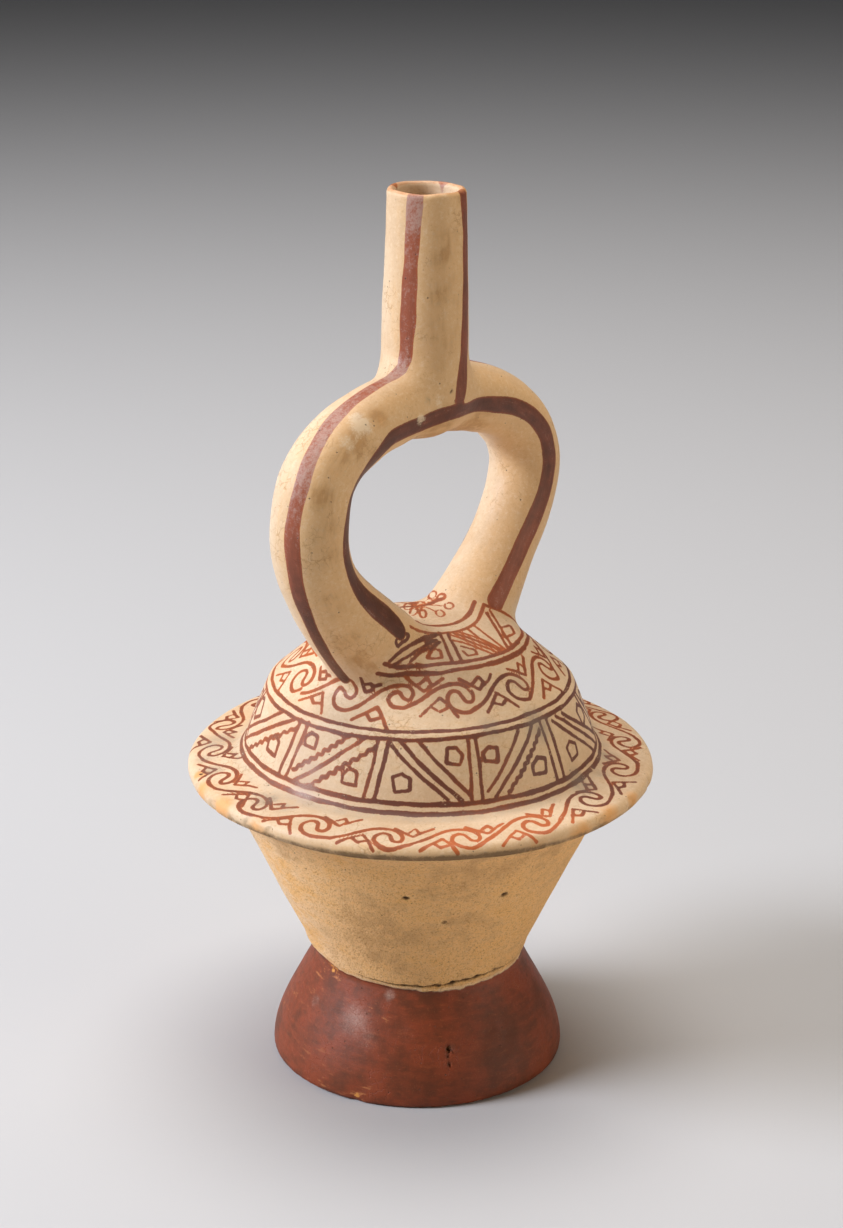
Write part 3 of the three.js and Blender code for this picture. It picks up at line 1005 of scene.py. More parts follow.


# Strokes where the legs stand on the dome, read in two close-ups of the photograph. A close-up is
# given by its left upper corner in the photograph's pixels and its enlargement
LEG_CLOSE_UP = (290, 560, 6.0)
TOP_CLOSE_UP = (400, 580, 4.5)
# Width in mm, tone, whether curved, then places (right, down) in the close-up
LEG_STROKES = (
    (1.45, 0.55, True, (
        (70, 800), (100, 797), (200, 760), (290, 715), (345, 712), (385, 745), (400, 790), (365, 828),
        (338, 815), (325, 785), (305, 765), (278, 790), (262, 830), (275, 880), (330, 900), (400, 880),
        (480, 830), (560, 780), (640, 755), (710, 760), (740, 800), (715, 840), (680, 830), (655, 795),
        (615, 803), (590, 840), (620, 880), (690, 888),
    )),
    (1.4, 0.6, False, ((185, 645), (180, 715), (218, 715), (225, 668), (183, 672))),
    (1.4, 0.6, False, ((220, 690), (245, 692))),
    (1.3, 0.75, False, ((425, 708), (452, 792), (500, 780), (490, 742), (440, 750))),
    (1.4, 0.7, False, ((495, 760), (545, 748))),
    (1.6, 0.85, True, ((600, 605), (660, 550), (780, 480), (880, 440))),
    (1.3, 0.85, True, ((600, 640), (760, 545), (880, 475))),
    (1.15, 0.8, True, ((720, 610), (780, 560), (880, 510))),
    (1.6, 0.8, True, ((565, 622), (640, 642), (760, 636), (900, 628))),
    (1.7, 0.8, True, ((525, 680), (600, 693), (700, 683), (900, 680))),
    (1.4, 1.0, True, ((685, 440), (712, 452), (700, 475), (665, 500), (648, 515), (635, 490), (645, 468))),
)
TOP_STROKES = (
    (1.6, 0.6, True, ((60, 165), (100, 195), (180, 202), (260, 187), (310, 152), (335, 100))),
    (1.5, 0.55, True, ((45, 210), (90, 230), (190, 236), (300, 215), (350, 180), (378, 112))),
    (1.4, 0.55, True, ((378, 112), (440, 135), (500, 170), (545, 225), (548, 250), (515, 290), (480, 318))),
    (1.6, 0.6, True, ((553, 215), (575, 260), (555, 305), (480, 350), (400, 375))),
    (1.3, 0.6, False, ((390, 150), (440, 230), (490, 310))),
    (1.3, 0.6, False, ((405, 140), (455, 220), (505, 298))),
    (1.3, 0.4, False, ((300, 215), (370, 270), (460, 325))),
    (1.3, 0.35, False, ((330, 200), (400, 255), (480, 315))),
    (1.2, 0.55, False, ((455, 215), (495, 205), (515, 240), (470, 260), (455, 215))),
)
# The flower by the far leg in the second close-up: its middle, then the middles of its petals
FLOWER = ((92, 110), (185, 76), (220, 115), (180, 148), (103, 149), (145, 66), (60, 92), (38, 118), (62, 140))


def serrated(start, end, teeth=9, depth=0.42):
    """Knots of a stroke from start to end that ripples from side to side."""
    knots = []
    for k in range(2 * teeth + 1):
        t = k / (2 * teeth)
        sway = (depth if k % 2 else -depth) * (0.4 + 0.6 * math.sin(math.pi * t))
        knots.append((
            start[0] + (end[0] - start[0]) * t + sway * 0.8,
            start[1] + (end[1] - start[1]) * t + sway * MM * 0.9,
        ))
    return knots


# Panels between the rings: angles of each pair of dividers at its top and foot, left and right stroke
DIVIDERS = (
    ((-83.5, -80.5), (-93.0, -89.0)),
    ((-48.0, -44.0), (-51.5, -48.0)),
    ((-14.8, -11.0), (-18.0, -14.8)),
    ((16.5, 19.4), (16.2, 19.6)),
    ((47.3, 51.0), (48.7, 52.2)),
    ((78.5, 81.5), (88.0, 92.0)),
    ((112.0, 115.5), (112.5, 116.0)),
    ((145.0, 148.5), (143.5, 147.0)),
    ((178.0, 181.5), (178.5, 182.0)),
    ((211.0, 214.5), (213.0, 216.5)),
    ((244.0, 247.5), (242.0, 245.5)),
)
# Each panel's three slanting strokes (top angle, run; foot angle, run; whether rippled) and its two pentagons
PANELS = (
    (((-59, 59.8), (-90, 78.5), 0), ((-51.5, 60), (-86, 80), 0), ((-48.5, 62), (-76.5, 79.5), 1),
     (-80, 66.0, -25, 1.25), (-58.5, 71.5, 8, 1.05)),
    (((-25, 59.5), (-45.5, 75.5), 1), ((-19.5, 59.5), (-43.5, 78.5), 0), ((-15.5, 62), (-38, 78.8), 1),
     (-41, 64.5, 5, 0.85), (-23.5, 73.0, 5, 0.9)),
    (((-10.5, 61), (8.7, 78.5), 1), ((-7.5, 59.5), (13, 79), 0), ((0.0, 60.5), (16, 77.5), 1),
     (-6.2, 73.0, 80, 0.95), (11.2, 64.5, 100, 0.9)),
    (((36.8, 60), (21.8, 77), 0), ((43, 60), (24, 79), 0), ((46, 62), (29, 78.5), 1),
     (24.3, 65.5, 10, 0.85), (42.2, 72.8, 10, 0.95)),
    (((53.8, 61), (77, 79.3), 0), ((57, 60), (83, 79.3), 0), ((61.3, 60.5), (90, 79.5), 0),
     (60.5, 73.0, 80, 1.0), (77.0, 66.0, 80, 1.1)),
)


def panel_band(brush):
    for (top_left, top_right), (foot_left, foot_right) in DIVIDERS:
        for top, foot in ((top_left, foot_left), (top_right, foot_right)):
            brush.draw(
                [(top, 59.5 * MM), ((top + foot) / 2 + 0.3, 69 * MM), (foot, 79.3 * MM)], 1.45 * MM, 0.55
            )
    # The middles of the panels in front, and which of them come again behind, a panel's width apart
    middles = (-67, -31, 2, 34, 66)
    behind = (1, 2, 3, 4, 1, 2)
    shown = [(panel, 0.0) for panel in PANELS]
    shown += [(PANELS[k], 98.5 + 33 * place - middles[k]) for place, k in enumerate(behind)]
    for panel, turned in shown:
        for top, foot, rippled in panel[:3]:
            start = (top[0] + turned, top[1] * MM)
            end = (foot[0] + turned, foot[1] * MM)
            knots = [start, ((start[0] + end[0]) / 2, (start[1] + end[1]) / 2), end]
            if rippled:
                knots = serrated(start, end)
            brush.draw(knots, 1.45 * MM, 0.55)
        for angle, run, lean, scale in panel[3:]:
            brush.motif(
                (angle + turned, run * MM), PENTAGON, scale, lean, width=1.35 * MM, tone=0.6, curved=False
            )


def paint_lines(form):
    """All of the fine brush drawing on the dome and the flange."""
    brush = Brush(form, 7)
    whole = np.arange(-105, 256, 6.0)
    for run, width, lift in ((56.3, 1.5, 0.5), (59.2, 1.45, 0.6), (79.7, 1.7, 0.5), (82.6, 1.8, 0.4)):
        sway = lift * np.sin(np.radians(whole * 2 + run * 9)) * MM
        brush.draw(np.c_[whole, run * MM + sway], width * MM, 0.6)
    # The upper pair of rings stops at the near leg's foot
    rings = (
        ((-2, 33.3), (9, 31.9), (30, 31.8), (45, 32.3), (60, 33.0), (78, 33.4)),
        ((-3, 36.0), (8.4, 35.5), (20, 34.9), (40, 35.0), (60, 35.8), (78, 36.6)),
    )
    for ring, level in zip(rings, (32.6, 35.6)):
        hidden = [(angle, level + 0.5 * math.sin(math.radians(angle * 3))) for angle in range(122, 241, 8)]
        for knots in (ring, hidden):
            brush.draw([(angle, run * MM) for angle, run in knots], 1.7 * MM, 0.7)
    brush.draw([(-95, 38.7 * MM), (-80, 38.4 * MM), (-70, 38.5 * MM)], 1.3 * MM, 0.3)

    upper = [(-93, 46.5), (-63, 47.0), (-34.5, 47.0), (-8.8, 43.8), (18.6, 44.8), (49.2, 45.6), (78.0, 46.0)]
    upper += [(107.5 + 31.9 * k, 45.6 + 0.5 * math.sin(k * 2.0)) for k in range(5)]
    scroll_band(brush, upper, ((0.0, 0.0, 0), (0.0, 0.0, 0)), 1.0, 0.5, upper[2:4], upper[1:3])
    brush.skin = Skin(form)
    brush.raised = paint_as_seen(form, brush.skin)
    lower = [(-87, 92.0), (-67, 92.6), (-48, 94.0), (-26.7, 94.6), (-7.2, 95.8), (11.8, 95.6), (31, 94.2)]
    lower += [(53, 91.8), (75.5, 91.2)]
    lower += [(96.5 + 19.6 * k, 92.6 + 0.8 * math.sin(k * 1.7)) for k in range(9)]
    scroll_band(brush, lower, ((0.0, 0.7, -4), (2.8, -1.6, -2)), 0.98, 0.5)
    panel_band(brush)
    paint_top(brush)
    return brush


def paint_top(brush):
    """The small panels round the dome's top, under the hanging lines."""

    def run(knots):
        return [(angle, reach * MM) for angle, reach in knots]

    # Strokes with their tone, then the small hooks and rings in the corners
    fans = (
        (0.9, (-0.9, 25.5), (8, 19.8), (19, 15.8)),
        (0.9, (4, 24), (12, 19.9)),
        (0.85, (6, 25.4), (11, 22.8), (17, 20.4)),
        (0.7, (19.5, 31.5), (20.3, 24), (22.3, 17.5), (24.5, 14)),
        (0.7, (25.5, 31.5), (27, 25), (29.5, 19.4), (34.5, 15.2)),
        (0.35, (32, 20), (38, 22.5), (43, 26), (48.5, 31.5)),
        (0.4, (34, 16.4), (41, 20), (46, 24.2), (51, 29), (53, 32)),
        (0.5, (41, 16), (47, 20), (52, 25.2), (57, 31.5)),
        (0.35, (46.5, 15.8), (52, 19.2), (56, 24.2), (59, 31.5)),
        (0.6, (139, 32), (141, 26), (143, 19)),
        (0.6, (145, 32), (148, 25), (150, 18)),
        (0.5, (152, 19), (160, 24), (168, 32)),
        (0.5, (158, 18), (166, 23), (175, 32)),
        (0.6, (196, 32), (190, 24), (186, 16)),
        (0.6, (202, 32), (197, 24), (193, 16)),
        (0.5, (207, 17), (213, 24), (224, 31.5)),
    )
    for tone, *fan in fans:
        brush.draw(run(fan), 1.35 * MM, tone)
    for hook in (
        ((4, 29.2), (14, 28.6), (15, 24.5), (8.6, 24.5), (4, 29.2)),
        ((31.5, 26.5), (31.5, 29.4), (39, 29.8), (40.4, 27.4), (36.5, 25.4), (33.5, 24)),
        ((118, 29), (130, 29), (130, 24), (120, 24), (118, 29)),
        ((176, 24), (186, 27), (176, 30), (176, 24)),
    ):
        brush.draw(run(hook), 1.25 * MM, 0.5, curved=False)
    # The far side of the saddle has its own pair of hanging lines, plainer
    brush.draw(run(((138, 15.5), (160, 13.2), (185, 12.0), (210, 13.0), (228, 16.0))), 2.0 * MM, 0.6)


def as_seen(places, close_up, exact):
    """Where the lines of sight through places (right, down) of a close-up meet the skin."""
    left, top, enlarged = close_up
    turn = Matrix.Rotation(LOOK_TURN, 3, "Z") @ Matrix.Rotation(math.pi / 2 - LOOK_TILT, 3, "X")
    turn = turn @ Matrix.Rotation(LOOK_ROLL, 3, "Z")
    reach = LOOK_LENS / SENSOR * PICTURE[1]
    rays = []
    for right, down in places:
        across = left + right / enlarged - PICTURE[0] / 2
        up = PICTURE[1] / 2 - top - down / enlarged
        rays.append((turn @ Vector((across, up, -reach))).normalized())
    rays = np.array(rays)
    eye = np.array([math.sin(LOOK_TURN) * LOOK_AWAY, -math.cos(LOOK_TURN) * LOOK_AWAY, LOOK_HEIGHT]) * MM
    # The march along each sight line starts this many metres from the camera, short of the vessel
    start = 0.6
    points = eye + rays * start
    for _ in range(40):
        points += rays * (exact.distance(points)[0] * 0.9)[:, None]
    return points[abs(exact.distance(points)[0]) < 0.3 * MM]


def paint_as_seen(form, exact):
    """The strokes that climb from the dome onto the feet of the legs, and the flower between them."""
    brush = Brush(form, 13)

    def trace(places, close_up, width, tone):
        found = as_seen(places, close_up, exact)
        if len(found) > 2:
            brush.lay(found, width * MM, tone, 0.08 * MM)

    def ring(middle, along, across, heading=0.0):
        out = Vector((math.cos(heading), math.sin(heading)))
        side = Vector((-out.y, out.x))
        turns = [math.tau * k / 14 for k in range(15)]
        return [Vector(middle) + out * along * math.cos(t) + side * across * math.sin(t) for t in turns]

    for close_up, strokes in ((LEG_CLOSE_UP, LEG_STROKES), (TOP_CLOSE_UP, TOP_STROKES)):
        for width, tone, curved, places in strokes:
            places = np.array(places, float)
            if curved:
                places = spline(np.c_[places, np.zeros(len(places))], 10 * len(places))[:, :2]
            else:
                share = np.linspace(0, len(places) - 1, 10 * len(places))
                places = np.stack(
                    [np.interp(share, np.arange(len(places)), places[:, k]) for k in range(2)], 1
                )
            trace(places, close_up, width, tone)
    middle = Vector(FLOWER[0])
    trace(ring(middle, 21, 14), TOP_CLOSE_UP, 0.85, 0.5)
    trace(ring(middle, 5, 4), TOP_CLOSE_UP, 0.8, 0.5)
    for petal in map(Vector, FLOWER[1:]):
        out = petal - middle
        stem = [middle + out * step for step in np.linspace(0.3, 0.76, 8)]
        trace(stem, TOP_CLOSE_UP, 0.8, 0.5)
        trace(ring(petal, 20, 14, math.atan2(out.y, out.x)), TOP_CLOSE_UP, 0.95, 0.5)
    return brush


# The wide stripes: (share of the stirrup's length, turn from its outer side towards the viewer, width in mm)
OUTER_STRIPE = (
    (0.094, -1, 5.8), (0.107, -2, 5.4), (0.14, 1, 5.0), (0.173, 6, 4.8), (0.2, 9, 5.0), (0.227, 12, 5.2),
    (0.247, 14, 5.2), (0.273, 12, 5.2), (0.293, 15, 5.2), (0.307, 18, 5.0), (0.333, 15, 4.8), (0.36, 10, 4.6),
    (0.387, 8, 4.4), (0.42, 6, 4.2), (0.445, 4, 4.2), (0.458, 5, 4.2),
)
SIDE_STRIPE = (
    (0.102, 108, 6.6), (0.11, 110, 7.6), (0.127, 112, 8.2), (0.153, 109, 7.6), (0.18, 107, 6.6),
    (0.213, 108, 5.4), (0.24, 108, 5.2), (0.267, 110, 5.2), (0.293, 115, 5.2), (0.32, 121, 5.0),
    (0.353, 121, 5.2), (0.38, 112, 5.6), (0.407, 99, 5.8), (0.46, 101, 5.4), (0.5, 95, 5.4),
    (0.533, 97, 5.0), (0.6, 96, 5.8), (0.633, 91, 6.0), (0.673, 88, 6.2), (0.713, 91, 6.6),
    (0.733, 97, 6.4), (0.76, 102, 6.3), (0.787, 103, 6.5), (0.82, 107, 6.8), (0.86, 111, 6.8),
    (0.9, 115, 6.6), (0.934, 119, 6.8),
)
# On the spout: (height under the lip in mm, turn about the spout from a leg's side towards the viewer, width)
SPOUT_OUTER_STRIPE = (
    (1.0, 20, 5.2), (8, 18, 5.2), (16, 16, 5.0), (28, 13.5, 5.2), (41, 12, 5.4), (51, 10, 4.8), (57, 7, 4.2),
)
SPOUT_SIDE_STRIPE = (
    (1.0, 14, 5.0), (15, 20, 5.0), (29, 18, 5.2), (40, 15, 5.4), (52, 11, 5.6), (60, 3, 6.0), (68, -6, 6.0),
)
# How red and milky a stripe is along its way: 0 dark brown, 0.5 red, 1 milky
OUTER_TONE = (
    (0.08, 0.0), (0.2, 0.05), (0.24, 0.3), (0.28, 0.6), (0.32, 0.95), (0.37, 0.85), (0.41, 0.6),
    (0.46, 0.95),
)
SIDE_TONE = ((0.09, 0.0), (0.3, 0.05), (0.42, 0.1), (0.6, 0.1), (0.75, 0.15), (0.86, 0.3), (0.94, 0.42))
SPOUT_TONE = ((0, 0.95), (8, 0.9), (18, 0.6), (30, 0.5), (42, 0.45), (50, 0.55), (57, 0.95))


def paint_stripes(form, skin_form):
    """The wide stripes down the spout, over the arch and along both sides of the stirrup."""
    brush = Brush(form, 11)
    line, radii = skin_form.stirrup_line, skin_form.stirrup_radii
    whole = np.linspace(0, 1, len(line))
    outward = skin_form.stirrup_outward

    def on_stirrup(stripe, mirrored, side):
        share, turn, width = np.array(stripe, float).T
        along = np.linspace(share[0], share[-1], 400)
        lean = np.radians(np.interp(along, share, turn))
        width = np.interp(along, share, width) * MM
        tone = np.interp(along, *np.array(OUTER_TONE if stripe is OUTER_STRIPE else SIDE_TONE).T)
        along = 1 - along if mirrored else along
        centre = np.stack([np.interp(along, whole, line[:, k]) for k in range(3)], 1)
        out = np.stack([np.interp(along, whole, outward[:, k]) for k in range(3)], 1)
        out /= np.linalg.norm(out, axis=1)[:, None]
        radius = np.interp(along, whole, radii)
        place = (
            centre
            + radius[:, None] * (out * np.cos(lean)[:, None] + np.array([0, side, 0]) * np.sin(lean)[:, None])
        )
        return place, width, tone

    def on_spout(stripe, start, side):
        drop, turn, width = np.array(stripe, float).T
        along = np.linspace(drop[0], drop[-1], 260)
        turn = np.radians(start + side * np.interp(along, drop, turn))
        width = np.interp(along, drop, width) * MM
        tone = np.full(len(along), 0.25)
        if stripe is SPOUT_OUTER_STRIPE:
            tone = np.interp(along, *np.array(SPOUT_TONE).T)
        height = form.spout_top - along * MM
        outer = skin_form.spout_line[skin_form.spout_line[:, 0] > 5 * MM][::-1]
        radius = np.interp(height, outer[:, 1], outer[:, 0])
        place = np.stack([np.cos(turn) * radius, np.sin(turn) * radius, height], 1) + np.array(SPOUT_SHIFT)
        return place, width, tone

    for place, width, tone in (
        on_stirrup(OUTER_STRIPE, False, -1),
        on_stirrup(OUTER_STRIPE, True, -0.2),
        on_stirrup(SIDE_STRIPE, False, -1),
        on_stirrup(SIDE_STRIPE, True, 1),
        on_spout(SPOUT_OUTER_STRIPE, 180, 1),
        on_spout(SPOUT_OUTER_STRIPE, 0, 0.3),
        on_spout(SPOUT_SIDE_STRIPE, 270, 1),
        on_spout(SPOUT_SIDE_STRIPE, 90, 1),
    ):
        sway = sum(np.sin(np.arange(len(place)) / step) for step in (9.0, 21.0)) * 0.1 * MM
        brush.dabs.append(place)
        brush.halves.append(width / 2 + sway)
        brush.tones.append(tone)
    # Each outer stripe bends from the spout over onto the arch
    steps = 30
    for below, above in ((0, 4), (1, 5)):
        bridge = np.linspace(brush.dabs[below][-1], brush.dabs[above][-1], steps)
        brush.dabs.append(skin_form.settle(bridge))
        brush.halves.append(np.full(steps, 2.15 * MM))
        brush.tones.append(np.full(steps, 0.9))
    return brush


def note(piece, name, values):
    """Keeps one number for each point of the mesh under a name that the finish reads."""
    kept = piece.data.attributes.get(name) or piece.data.attributes.new(name, "FLOAT", "POINT")
    kept.data.foreach_set("value", np.asarray(values, np.float32))


def lines_at(points, form, lines, near=5):
    """Depth inside the fine lines and their tone at any places, read on the plain dome and flange."""
    flat = np.stack([np.hypot(points[:, 0], points[:, 1]), points[:, 2]], 1)
    gap, spot, along = nearest_on_line(flat, form.dome_outline())
    plain = points.copy()
    plain[:, :2] *= (spot[:, 0] / np.maximum(flat[:, 0], 1e-9))[:, None]
    plain[:, 2] = spot[:, 1]
    drawn = (gap < 6 * MM) & (points[:, 2] > form.flange_under + 1 * MM)
    ink, tone = np.full(len(points), -4 * MM), np.full(len(points), 0.5)
    ink[drawn], tone[drawn] = lines.measure(plain[drawn], near)
    ink -= np.maximum(0, gap - 2.5 * MM) * 0.8
    # Strokes that climb the feet of the legs are read on the skin itself
    climbs = abs(points[:, 2] - form.dome_top + 5 * MM) < 16 * MM
    raised, raised_tone = lines.raised.measure(lines.skin.settle(points[climbs]), near)
    over = raised > ink[climbs]
    where = np.flatnonzero(climbs)[over]
    ink[where], tone[where] = raised[over], raised_tone[over]
    run = np.interp(along, np.arange(len(lines.run)), lines.run)
    return ink, tone, run


# Tone of the fine lines by band, from 0 for light orange to 1 for dark brown: lowest and highest run in mm,
# then (angle, tone)
BAND_TONES = (
    (38.2, 54.5, (
        (-90, 0.4), (-52, 0.45), (-40, 0.6), (25, 0.62), (32, 0.85), (46, 0.8), (52, 0.6), (90, 0.6),
    )),
    (54.5, 60.7, (
        (-90, 0.3), (-75, 0.4), (-65, 0.6), (-40, 0.65), (-20, 0.75), (20, 0.75), (32, 0.95), (90, 0.9),
    )),
    (60.7, 78.4, (
        (-90, 0.55), (-52, 0.58), (-20, 0.6), (-14, 0.9), (8, 0.9), (14, 0.7), (30, 0.7), (38, 0.95),
        (90, 0.9),
    )),
    (78.4, 84.5, (
        (-90, 0.6), (-50, 0.6), (-22, 0.75), (-14, 0.9), (8, 0.9), (14, 0.7), (30, 0.75), (40, 0.95),
        (90, 0.9),
    )),
    (84.5, 110.0, (
        (-90, 0.7), (-52, 0.68), (-40, 0.6), (0, 0.55), (8, 0.2), (38, 0.22), (46, 0.85), (60, 0.85),
        (90, 0.6),
    )),
)
# Stains on the skin, with some spots of painted shade: place and reach in millimetres, then how strong
SOIL_AND_SHADE = (
    ((-36.2, -10.0, 234.8), 5.0, 0.8), ((-49.1, -10.5, 229.8), 7.5, 0.7), ((-43.0, -11.0, 226.0), 5.0, 0.5),
    ((-56.0, -10.5, 225.0), 6.0, 0.5), ((-59.8, -10.3, 222.6), 6.0, 0.6), ((-65.1, -9.8, 215.3), 7.0, 0.65),
    ((-66.0, -11.0, 205.0), 9.0, 0.5), ((-46.6, -9.9, 157.2), 6.5, 0.6), ((-53.0, -10.0, 164.0), 8.0, 0.5),
    ((-63.8, -12.0, 195.3), 9.0, 0.5), ((-61.0, -13.0, 180.0), 9.0, 0.5), ((-8.2, -11.7, 246.2), 6.0, 0.4),
    ((-6.0, -12.5, 256.0), 9.0, 0.6), ((-5.0, -12.5, 268.0), 9.0, 0.6), ((-5.0, -12.5, 282.0), 9.0, 0.6),
    ((12.0, -12.0, 224.0), 7.0, 0.4), ((-10.4, -44.4, 17.2), 15.0, 0.6), ((20.0, -42.0, 22.0), 14.0, 0.6),
    ((-24.0, -55.0, 60.0), 12.0, 0.4), ((-38.5, 8.0, 27.0), 8.0, 0.45), ((-44.0, 14.0, 12.0), 9.0, 0.5),
    ((50.0, 10.0, 226.0), 8.0, 0.4), ((30.0, 38.0, 20.0), 14.0, 0.5), ((8.0, 13.0, 262.0), 8.0, 0.3),
    ((40.0, 8.0, 164.0), 7.0, 0.4), ((-52.0, -26.0, 72.0), 12.0, 0.4), ((-40.0, -40.0, 88.0), 10.0, 0.35),
    ((-56.0, -9.0, 52.0), 9.0, 0.35), ((10.0, -56.0, 80.0), 12.0, 0.3),
    # The first two spots on the next line are painted shade under the arch
    ((-10.0, -5.0, 218.5), 15.0, 1.3), ((14.0, -3.0, 219.0), 14.0, 1.3), ((-45.0, -13.0, 152.0), 9.0, 0.6),
    ((4.0, -13.0, 298.0), 5.0, 0.8),
)
GRIME = (
    ((-4.9, -14.6, 236.9), 1.2, 0.8), ((-14.3, -12.0, 235.1), 2.2, 0.6), ((-36.2, -10.0, 234.8), 3.0, 0.28),
    ((-28.0, -33.0, 37.5), 3.0, 0.4), ((-8.0, -39.0, 37.2), 4.0, 0.5), ((-60.0, 46.0, 106.5), 3.0, 0.5),
    ((10.0, -11.6, 241.0), 2.0, 0.4), ((44.0, 6.0, 172.0), 3.0, 0.3),
)
# Grey dirt, with painted shade at the near leg's foot and in the corner at the dome's foot
ASH_AND_SHADE = (
    ((-56.2, 44.0, 109.2), 7.0, 0.6), ((-64.5, 13.3, 110.0), 8.0, 0.75), ((-66.7, 5.4, 109.8), 6.0, 0.6),
    ((-36.0, 57.0, 110.0), 12.0, 0.75), ((-50.0, 52.0, 109.5), 7.0, 0.55), ((-23.8, -44.2, 135.4), 6.0, 0.6),
    ((-6.9, -51.7, 132.5), 8.0, 0.85), ((3.2, -61.5, 111.0), 8.0, 0.85), ((16.0, -60.5, 111.0), 7.0, 0.6),
    ((29.8, -55.9, 110.3), 7.0, 0.75), ((-15.4, -14.7, 156.0), 6.0, 0.45), ((-20.0, -8.0, 156.0), 4.0, 0.3),
    ((-31.0, -30.0, 144.0), 5.0, 0.4), ((-57.0, -17.0, 120.0), 7.0, 0.2), ((-2.0, -40.0, 143.0), 7.0, 0.5),
    ((44.0, 40.0, 110.0), 12.0, 0.6), ((-2.0, 60.0, 112.0), 12.0, 0.6), ((56.0, -20.0, 111.0), 9.0, 0.5),
    ((20.0, 36.0, 140.0), 8.0, 0.4),
)
CHALK = (
    ((-45.0, -9.5, 234.0), 7.0, 1.0), ((-52.0, -9.0, 229.0), 6.0, 0.8), ((-38.0, -11.0, 232.0), 4.0, 0.6),
    ((-18.0, -11.5, 230.0), 4.0, 0.9), ((-10.0, -13.0, 234.0), 5.0, 0.7), ((-66.0, -6.0, 200.0), 7.0, 0.6),
    ((-58.0, -14.0, 128.0), 6.0, 0.35), ((-23.0, -33.0, 35.4), 5.0, 1.0), ((-36.0, -14.0, 35.5), 5.0, 0.7),
    ((-6.0, -38.0, 34.5), 5.0, 0.6), ((6.0, -12.0, 288.0), 6.0, 0.5), ((20.0, 33.0, 35.0), 6.0, 0.8),
    ((50.0, 10.0, 215.0), 8.0, 0.6),
)
STAIN = (
    ((-60.3, 46.6, 108.5), 3.4, 1.0), ((-18.0, -75.4, 103.5), 7.0, 0.8), ((-3.6, -78.2, 106.1), 7.0, 0.75),
    ((-34.0, -69.5, 104.0), 5.0, 0.6), ((12.0, -77.0, 106.0), 6.0, 0.6), ((-74.0, 26.0, 105.5), 7.0, 0.9),
    ((-77.5, 8.0, 104.5), 6.0, 0.7), ((-67.0, 40.0, 105.0), 6.0, 0.9),
    ((-34.1, 10.5, 37.5), 7.0, 1.0), ((-33.5, 18.0, 34.0), 7.0, 0.8), ((-31.3, 31.8, 19.3), 9.0, 0.5),
    ((-38.4, -10.6, 28.2), 4.0, 0.9), ((-49.6, -10.4, 2.6), 3.2, 1.3), ((-48.6, -12.6, 6.0), 2.0, 1.2),
    ((-47.0, 8.0, 2.0), 9.0, 0.7), ((-36.3, -9.0, 232.0), 4.0, 0.6), ((-59.0, -9.0, 221.0), 4.0, 0.6),
    ((-55.0, 22.0, 60.0), 10.0, 0.3), ((60.0, 44.0, 106.0), 8.0, 0.6), ((24.0, -44.0, 3.0), 8.0, 0.5),
    ((-2.0, 50.0, 1.5), 3.0, 1.2), ((48.0, 16.0, 1.5), 3.4, 1.2),
)
MILK = (
    ((-59.1, 3.1, 113.9), 8.0, 0.9), ((-56.0, 2.0, 120.0), 7.0, 0.75), ((-54.0, 8.0, 124.0), 6.0, 0.5),
    ((-41.3, -3.5, 25.3), 8.0, 0.75), ((-41.5, -9.0, 21.0), 6.0, 0.6), ((-39.0, -22.0, 25.0), 7.0, 0.4),
    ((-38.5, 15.4, 25.2), 2.2, 1.0), ((-34.3, -12.9, 34.6), 2.6, 0.9), ((-44.0, -7.4, 235.4), 3.0, 0.9),
    ((-43.4, -10.3, 232.3), 2.6, 0.8), ((-52.0, -3.0, 231.0), 5.0, 0.5),
)


def stain_depth(points, stains):
    """How strongly each place is stained, as the strongest of the stains round it."""
    depth = np.zeros(len(points))
    for centre, reach, amount in stains:
        gap = np.linalg.norm(points - np.array(centre) * MM, axis=1) / (reach * MM)
        depth = np.maximum(depth, amount * np.exp(-((gap * 1.15) ** 2)))
    return depth


def flow_of(points, exact):
    """Places in a space drawn out along the way that the hand wiped each part, in millimetres."""
    body, _, along = turned_distance(points, exact.body_line, (0.0, 0.0))
    _, place, share = nearest_on_line(points, exact.stirrup_line)
    step = np.minimum(share.astype(int), len(exact.stirrup_radii) - 2)
    stirrup = np.linalg.norm(points - place, axis=1) - exact.stirrup_radii[step]
    spout = turned_distance(points, exact.spout_line, SPOUT_SHIFT)[0]
    turn = np.arctan2(points[:, 1], points[:, 0]) + points[:, 2] / (70 * MM)
    run = np.r_[0, np.cumsum(np.hypot(*np.diff(exact.body_line, axis=0).T))]
    run = np.interp(along, np.arange(len(run)), run) / MM
    flow = np.stack([12 * np.cos(turn), 12 * np.sin(turn), run], 1)
    tube = stirrup < np.minimum(body, spout)
    out = exact.stirrup_outward[step]
    rel = (points - place) / MM
    on_tube = np.stack([share * 0.35, (rel * out).sum(1), rel[:, 1]], 1)
    flow[tube] = on_tube[tube]
    upright = spout < np.minimum(body, stirrup)
    flow[upright] = (points / MM * np.array([1.0, 1.0, 0.16]))[upright]
    return flow


